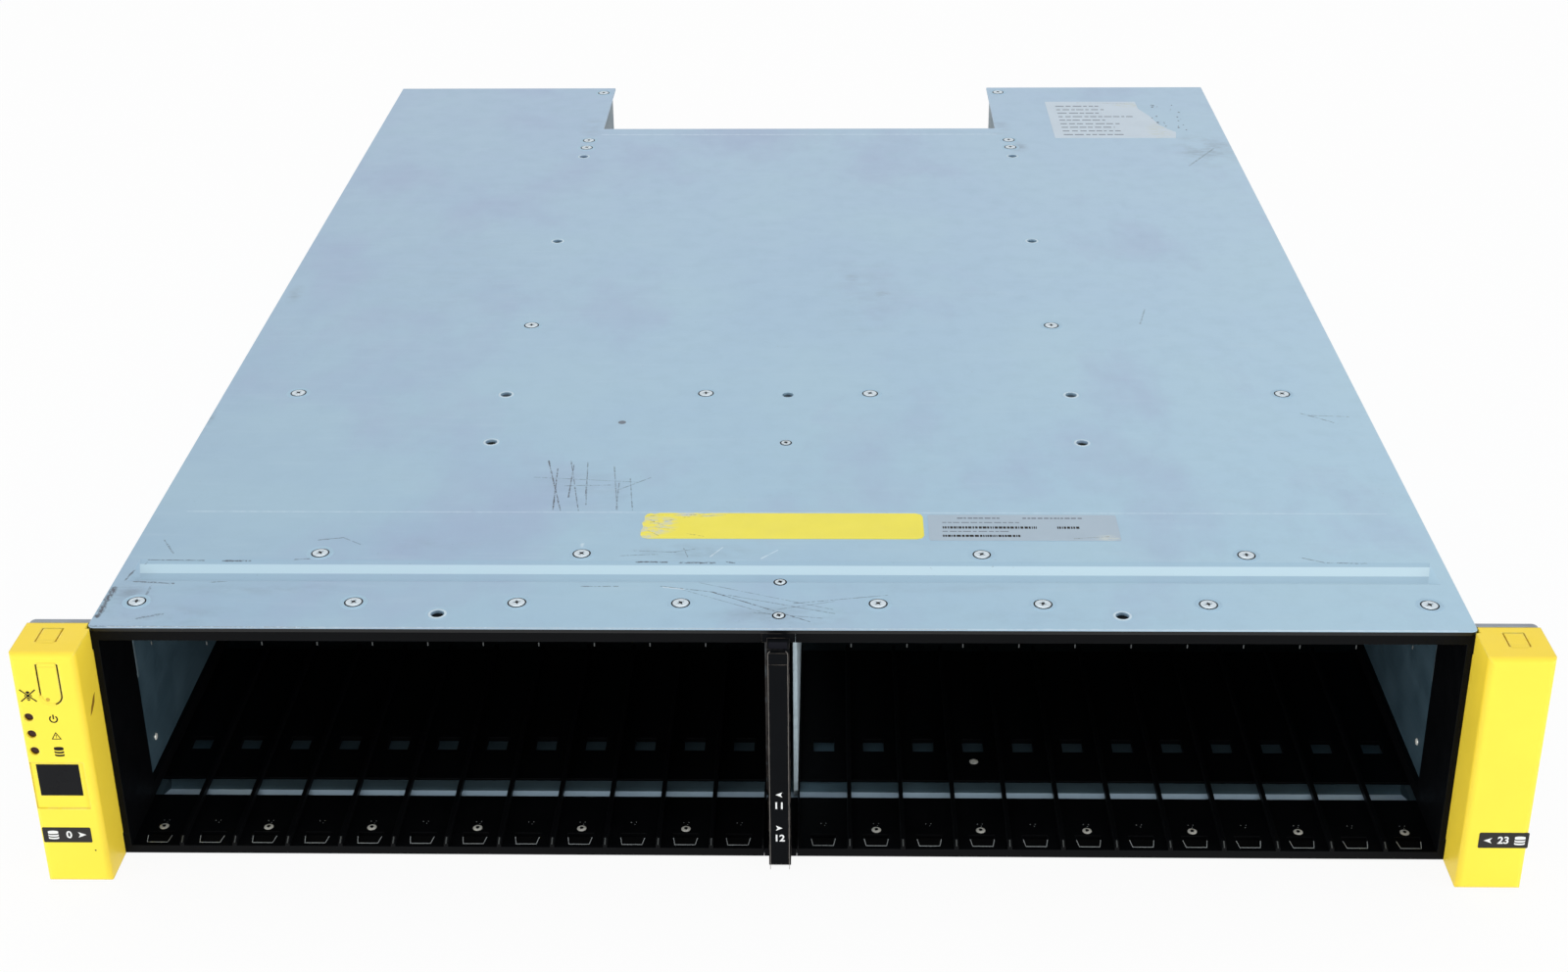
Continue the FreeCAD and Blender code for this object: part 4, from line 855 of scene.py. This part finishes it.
# the dimple's darker yellow is painted shade in its hollow
piece("key_dimple", dimple, plain("dimple_painted_shade", srgb(206, 168, 40), 0.5), "mute_key",
      matrix=on_front(-231.2, cap_face, 71.2))
bridge = arc_points(0, 0, key_half + CUT, 178, 262, 16) + arc_points(0, 0, key_half + 0.06, 262, 178, 16)
front_piece("key_low_bridge", [bridge], CAP_YELLOW, "cap_left", *key_place, lift=-CAP_WALL, thickness=CAP_WALL)


def root_patch(x0, x1, y0, y1):
    """A skin that reaches almost to the slots beside it."""
    inset = 0.1
    return [[(x0 + inset, y0), (x1 - inset, y0), (x1 - inset, y1), (x0 + inset, y1)]]


for side, word in SIDES:
    tab = limits("cap_release_tab_" + word)
    name = "tab_patch_" + word
    patch = slab(name, root_patch(tab[0], tab[1], tab[2] - 1.1, tab[2] + 0.9), SKIN)
    piece(name, patch, CAP_YELLOW, "cap_" + word, spot(0, 0, tab[5]))
front_piece("key_root_patch", root_patch(-key_half, key_half, -0.9, 0.9), CAP_YELLOW, "cap_left",
            key_place[0], key[5], thickness=SKIN)
front_piece("key_low_patch", [band(arc_points(0, 0, slot_middle, 184, 288, 20), 1.2)], CAP_YELLOW, "cap_left",
            *key_place, thickness=SKIN)
key_top = key[5] - key_round
for name, line in (("key_slit_left", [(-slot_middle, key_top), (-slot_middle, 0.8)]),
                   ("key_slit_right", [(slot_middle, key_top)] + arc_points(0, 0, slot_middle, 0, -66, 12))):
    front_piece(name, [band(line, SLIT)], SLIT_PAINTED_SHADE, "cap_left", *key_place, lift=-SLIT_DEPTH, thickness=0.06)
side_slit = [(3.2, 2.5), (1.8, -0.3), (-1.2, -2.1), (-3.2, -2.6), (-1.6, -0.3), (1.2, 1.9)]
where = on_front(limits("end_cap_left")[1], -7.6, 64.2, turned(90, "Z") @ FACING_FRONT)
piece("cap_side_slit", slab("cap_side_slit", [side_slit], 0.04), plain("slit_shadow", srgb(150, 112, 22), 0.6),
      "cap_left", matrix=where)

# ---- Marks of the centre post ----
post_face = limits("centre_post")[2]
POST_X = -0.1  # middle of its marks
for name, z, direction in (("post_arrow_left", 30.4, -1), ("post_arrow_right", 17.2, 1)):
    front_piece(name, [triangle(2.2, 2, direction)], PRINT_WHITE, "chassis", POST_X, z, y=post_face)
for name, text, z in (("post_figures_left", "11", 26), ("post_figures_right", "12", 13.1)):
    piece(name, words(name, text, 2.6), PRINT_WHITE, matrix=on_front(POST_X, post_face, z))
PAD = 3.15  # from the middle to the pale line round the pad
PAD_LOW, PAD_HIGH = -44.9, 38.3  # ends of the line's straight part
outer = [(-PAD, PAD_LOW), (-PAD, PAD_HIGH)] + arc_points(-1.75, PAD_HIGH, 1.4, 180, 120, 5)
inner = arc_points(1.75, PAD_HIGH, 1.4, 60, 0, 5) + [(PAD, PAD_HIGH), (PAD, PAD_LOW)]
POST_LINE = plain("post_line", srgb(120, 116, 112), 0.5)
POST_GREY = plain("post_grey", srgb(17, 18, 25), 0.6, specular=0.1)
PAD_THICK = 1.2  # thickness of the block above the pad
CAP_FRONT = post_face + 1.6  # front of the grey cap over the post
front_piece("post_outline", [band(outer, 0.16), band(inner, 0.16)], POST_LINE, "chassis", 0, 45.5,
            y=post_face - 0.005)
front_piece("post_pad_top", [rounded_outline(-3.3, 3.3, -2.2, 2.1, 1)], OWN["centre_post"], "chassis",
            0, 82.2, thickness=PAD_THICK, y=post_face + PAD_THICK)
front_piece("post_cap", [rounded_outline(-2.9, 2.9, -1.4, 1.4, 0.3)], POST_GREY, "chassis", 0, 86,
            y=CAP_FRONT)

# ---- Small parts of the drive guides ----
tray_screw = cross_recess(lathe("tray_screw", [(0, 0), (1.6, 0), (1.6, 0.08), (1.3, 0.24), (0, 0.28)], 28),
                          0.95, 0.45, 0.18, 0.28)
rivet = lathe("rivet", [(0, 0.5), (0.6, 0.47), (1.1, 0.3), (1.3, 0)], 24)
# a pale line along each latch slot's front lip: painted highlight
latch_lip_highlight = slab("latch_lip_highlight", [band([(-4.05, 5.6), (-3.42, 1.85), (3.42, 1.85), (4.05, 5.6)], 0.24)], 0.03)
pocket_floor = slab("pocket_floor", [[(-3.3, 2.05), (3.3, 2.05), (4.35, 7.95), (-4.35, 7.95)]], 0.3)
POCKET_BLACK = plain("pocket_black", srgb(9, 10, 11), 0.6, specular=0.1)
dots = slab("tray_dots", [arc_points(-0.9, 0.9, 0.16, 0, 330, 8), arc_points(0.8, 1, 0.14, 0, 330, 8),
                          arc_points(0.4, -0.2, 0.12, 0, 330, 8)], 0.05)
tick = slab("rib_tick", [[(-0.22, 0), (0.22, 0), (0.22, 3.2), (-0.22, 3.2)]], 0.06)
# pale ticks at the rib ends and on the lintel: painted highlights
RIB_END_HIGHLIGHT = plain("rib_end_highlight", srgb(62, 66, 66), 0.5)
LINTEL_TICK_HIGHLIGHT = plain("lintel_tick_highlight", srgb(32, 35, 37), 0.5)
TRAY_TOP = 3.0  # upper face of the lower guide's floor
SLOT_FLOOR = 1.22  # of the latch slots: just above the chassis floor
SCREW_ROW = 10.6  # tray screws, from the front
RIB_NOSE = (0.02, 4.22)  # place of the painted highlight on a rib's end: back from the front, and up
RIB_LEAN = 25.6  # degrees by which that nose leans
LINTEL_SPOT = 81.8  # height of the painted highlight on the upper guide
PLATE_FACE = INNER_HALF - 1.3  # inner face of the black plates on the walls
# the pale strips: painted highlights on the rear edges of the black side plates, and painted light on the wall
# just behind them
WALL_EDGE_HIGHLIGHT = plain("wall_edge_highlight", srgb(206, 228, 238), 0.4)
WALL_PAINTED_LIGHT = plain("wall_flap", srgb(120, 140, 150), 0.4)
WALL_PARTS = (
    # name, face, from and to behind the front, from and to in height, material
    ("low", PLATE_FACE, 28.7, 29.3, 5, 50, WALL_EDGE_HIGHLIGHT),
    ("high", PLATE_FACE, 28.4, 28.9, 50, 83, WALL_EDGE_HIGHLIGHT),
    ("flap", INNER_HALF, 33.6, 36.2, 47, 83, WALL_PAINTED_LIGHT),
)
WALL_SKIN = 0.06  # thickness of those strips
WALL_RIVET = (43.2, 17.5)  # behind the front, and up


for side, word in SIDES:
    for bay in range(12):
        x = side * bay_centre(bay)
        piece(f"pocket_floor_{word}_{bay}", pocket_floor, POCKET_BLACK, place=spot(x, 0, SLOT_FLOOR))
        piece(f"latch_lip_highlight_{word}_{bay}", latch_lip_highlight, LATCH_HIGHLIGHT_AND_DOTS, place=spot(x, 0, TRAY_TOP))
        where = Matrix.Translation(spot(x + uniform(-0.3, 0.3), SCREW_ROW, TRAY_TOP))
        if bay % 2:
            turn = Matrix.Rotation(uniform(0, pi), 4, "Z")
            piece(f"tray_screw_{word}_{bay}", tray_screw, SCREW_PAINTED_LIGHT, matrix=where @ turn)
            piece(f"tray_screw_dark_{word}_{bay}", screw_dark, DARK,
                  matrix=where @ Matrix.Translation((0, 0, 0.12 * MM)))
        piece(f"tray_dots_{word}_{bay}", dots, LATCH_HIGHLIGHT_AND_DOTS, matrix=where @ Matrix.Translation((0, 2.6 * MM, 0)))
        if bay:
            x = side * (first_edge + bay * bay_pitch)
            piece(f"rib_tick_{word}_{bay}", tick, RIB_END_HIGHLIGHT,
                  matrix=on_front(x, *RIB_NOSE, turned(RIB_LEAN, "X")) @ Matrix.Diagonal((1, 0.8, 1, 1)))
            piece(f"lintel_tick_{word}_{bay}", tick, LINTEL_TICK_HIGHLIGHT,
                  matrix=on_front(x, -0.02, LINTEL_SPOT) @ Matrix.Diagonal((0.8, 0.4, 1, 1)))
    for part, x, y0, y1, z0, z1, material in WALL_PARTS:
        outline = [(side * x, y0), (side * (x - WALL_SKIN), y0), (side * (x - WALL_SKIN), y1), (side * x, y1)]
        strip = slab("wall_" + part, [outline if side < 0 else outline[::-1]], z1 - z0)
        piece(f"wall_{part}_{word}", strip, material, place=spot(0, 0, z0))
    piece(f"wall_rivet_{word}", rivet, SCREW_PAINTED_LIGHT,
          matrix=on_front(side * INNER_HALF, *WALL_RIVET, turned(-90 * side, "Y")))
piece("tray_screw_inner", tray_screw, SCREW_PAINTED_LIGHT, place=spot(67.5, 50.9, TRAY_TOP))

# ---- Rear faces ----
LUG = 6.2  # how far the lever lugs stand behind the cases' rear faces
REAR_INSET = 5.0  # screws and lamps from the case's edges
POWER_LAMPS = (12, 17, 22)  # from the case's outer side
IO_LAMPS = (30, 4)  # first lamp from the case's side, and the step to the second
rear_screw = cross_recess(lathe("rear_screw", [(0, 0), (2.4, 0), (2.4, 0.5), (2, 0.9), (0, 1)], 32),
                          1.3, 0.55, 0.6, 1)
rear_lamp = lathe("rear_lamp", [(0, 0.55), (0.6, 0.5), (1, 0.3), (1.15, 0)], 24)


def on_rear(name, mesh, material, body, x, case, z):
    """A small part on a module case's rear face."""
    piece(name, mesh, material, body, matrix=on_front(x, case[3] - LUG, z, FACING_BACK))


for side, word in SIDES:
    case = limits("power_case_" + word)
    body = "power_module_" + word
    outer = case[1] if side > 0 else case[0]
    for number, z in enumerate((case[4] + REAR_INSET, case[5] - REAR_INSET)):
        on_rear(f"case_screw_{word}_{number}", rear_screw, SCREW, body, outer - side * REAR_INSET, case, z)
    for number, inset in enumerate(POWER_LAMPS):
        on_rear(f"case_lamp_{word}_{number}", rear_lamp, LAMP_GREEN, body, outer - side * inset, case,
                case[5] - REAR_INSET)
for level in ("lower", "upper"):
    case = limits("io_case_" + level)
    inset, step = IO_LAMPS
    for number, x in enumerate((case[0] + inset, case[1] - inset)):
        for row_number in range(2):
            on_rear(f"io_lamp_{level}_{number}_{row_number}", rear_lamp, LAMP_GREEN, "io_module_" + level,
                    x + step * row_number, case, case[5] - REAR_INSET)

# ---- Floor, light and camera ----
FLOOR_DROP = 0.0006  # the floor stays this far under the feet, in metres
bpy.ops.mesh.primitive_plane_add(size=6, location=(0, 0, -FLOOR_DROP))
floor = bpy.context.object
floor.name = "floor"
g = Graph("floor_paper", srgb(244, 245, 246), 0.7)
g.shade = g.mix(g.ramp(g.noise(300), 0.3, 0.7), srgb(242, 243, 244), srgb(247, 248, 248))
g.finish()
floor.data.materials.append(g.material)
path = g.node("LightPath")
straight = g.math("MAXIMUM", path.outputs["Is Camera Ray"], path.outputs["Is Glossy Ray"])
glow = g.node("Emission", {"Color": (1, 1, 1, 1), "Strength": 1.0})
PAPER_GLOW = 0.93  # the rest of the floor's look is lit paper, which takes the shadow
blend = g.node("MixShader", {0: g.times(straight, PAPER_GLOW), 1: g.shader.outputs[0], 2: glow.outputs[0]})
g.tree.links.new(blend.outputs[0], g.tree.nodes["Material Output"].inputs["Surface"])

SKY_LIGHT = 0.62  # the world's strength on the object; what is seen is white
world = bpy.data.worlds.new("studio")
bpy.context.scene.world = world
world.use_nodes = True
nodes = world.node_tree.nodes
link = world.node_tree.links.new
sky = nodes["Background"]
sky.inputs["Color"].default_value = (1, 1, 1, 1)
path = nodes.new("ShaderNodeLightPath")
direct = nodes.new("ShaderNodeMath")
direct.operation = "MAXIMUM"
link(path.outputs["Is Camera Ray"], direct.inputs[0])
link(path.outputs["Is Glossy Ray"], direct.inputs[1])
level = nodes.new("ShaderNodeMapRange")
level.inputs["To Min"].default_value = SKY_LIGHT
level.inputs["To Max"].default_value = 1.0
link(direct.outputs[0], level.inputs["Value"])
link(level.outputs[0], sky.inputs["Strength"])


def softbox(name, place, aim, size, power):
    """A rectangular area light, with places and size in metres and power in watts."""
    data = bpy.data.lights.new(name, "AREA")
    data.shape = "RECTANGLE"
    data.size, data.size_y = size
    data.energy = power
    lamp = add(name, data)
    lamp.location = place
    lamp.rotation_euler = (Vector(aim) - Vector(place)).to_track_quat("-Z", "Y").to_euler()


softbox("overhead", (0, 0.1, 1.9), (0, 0, 0.05), (1.8, 1.6), 8)
for side, word in SIDES:
    softbox("fill_" + word, (side * 2.2, -1.5, 0.45), (0, -0.25, 0.05), (1.2, 0.8), 29)

# the camera as fitted to the photo: lens in millimetres, place in metres, turns in radians
CAMERA_HEADING, CAMERA_DOWN, CAMERA_ROLL = 0.0228978917, 0.437922967, -0.00873954292
camera_data = bpy.data.cameras.new("camera")
camera_data.sensor_width = 36
camera_data.lens = 50.473
camera_data.shift_y = -0.06
camera = add("camera", camera_data)
camera.matrix_world = (Matrix.Translation((0.016274, front_y - 0.600669, 0.452963))
                       @ Matrix.Rotation(CAMERA_HEADING, 4, "Z")
                       @ Matrix.Rotation(pi / 2 - CAMERA_DOWN, 4, "X")
                       @ Matrix.Rotation(CAMERA_ROLL, 4, "Z"))
bpy.context.scene.camera = camera
bpy.context.scene.view_settings.view_transform = "Standard"
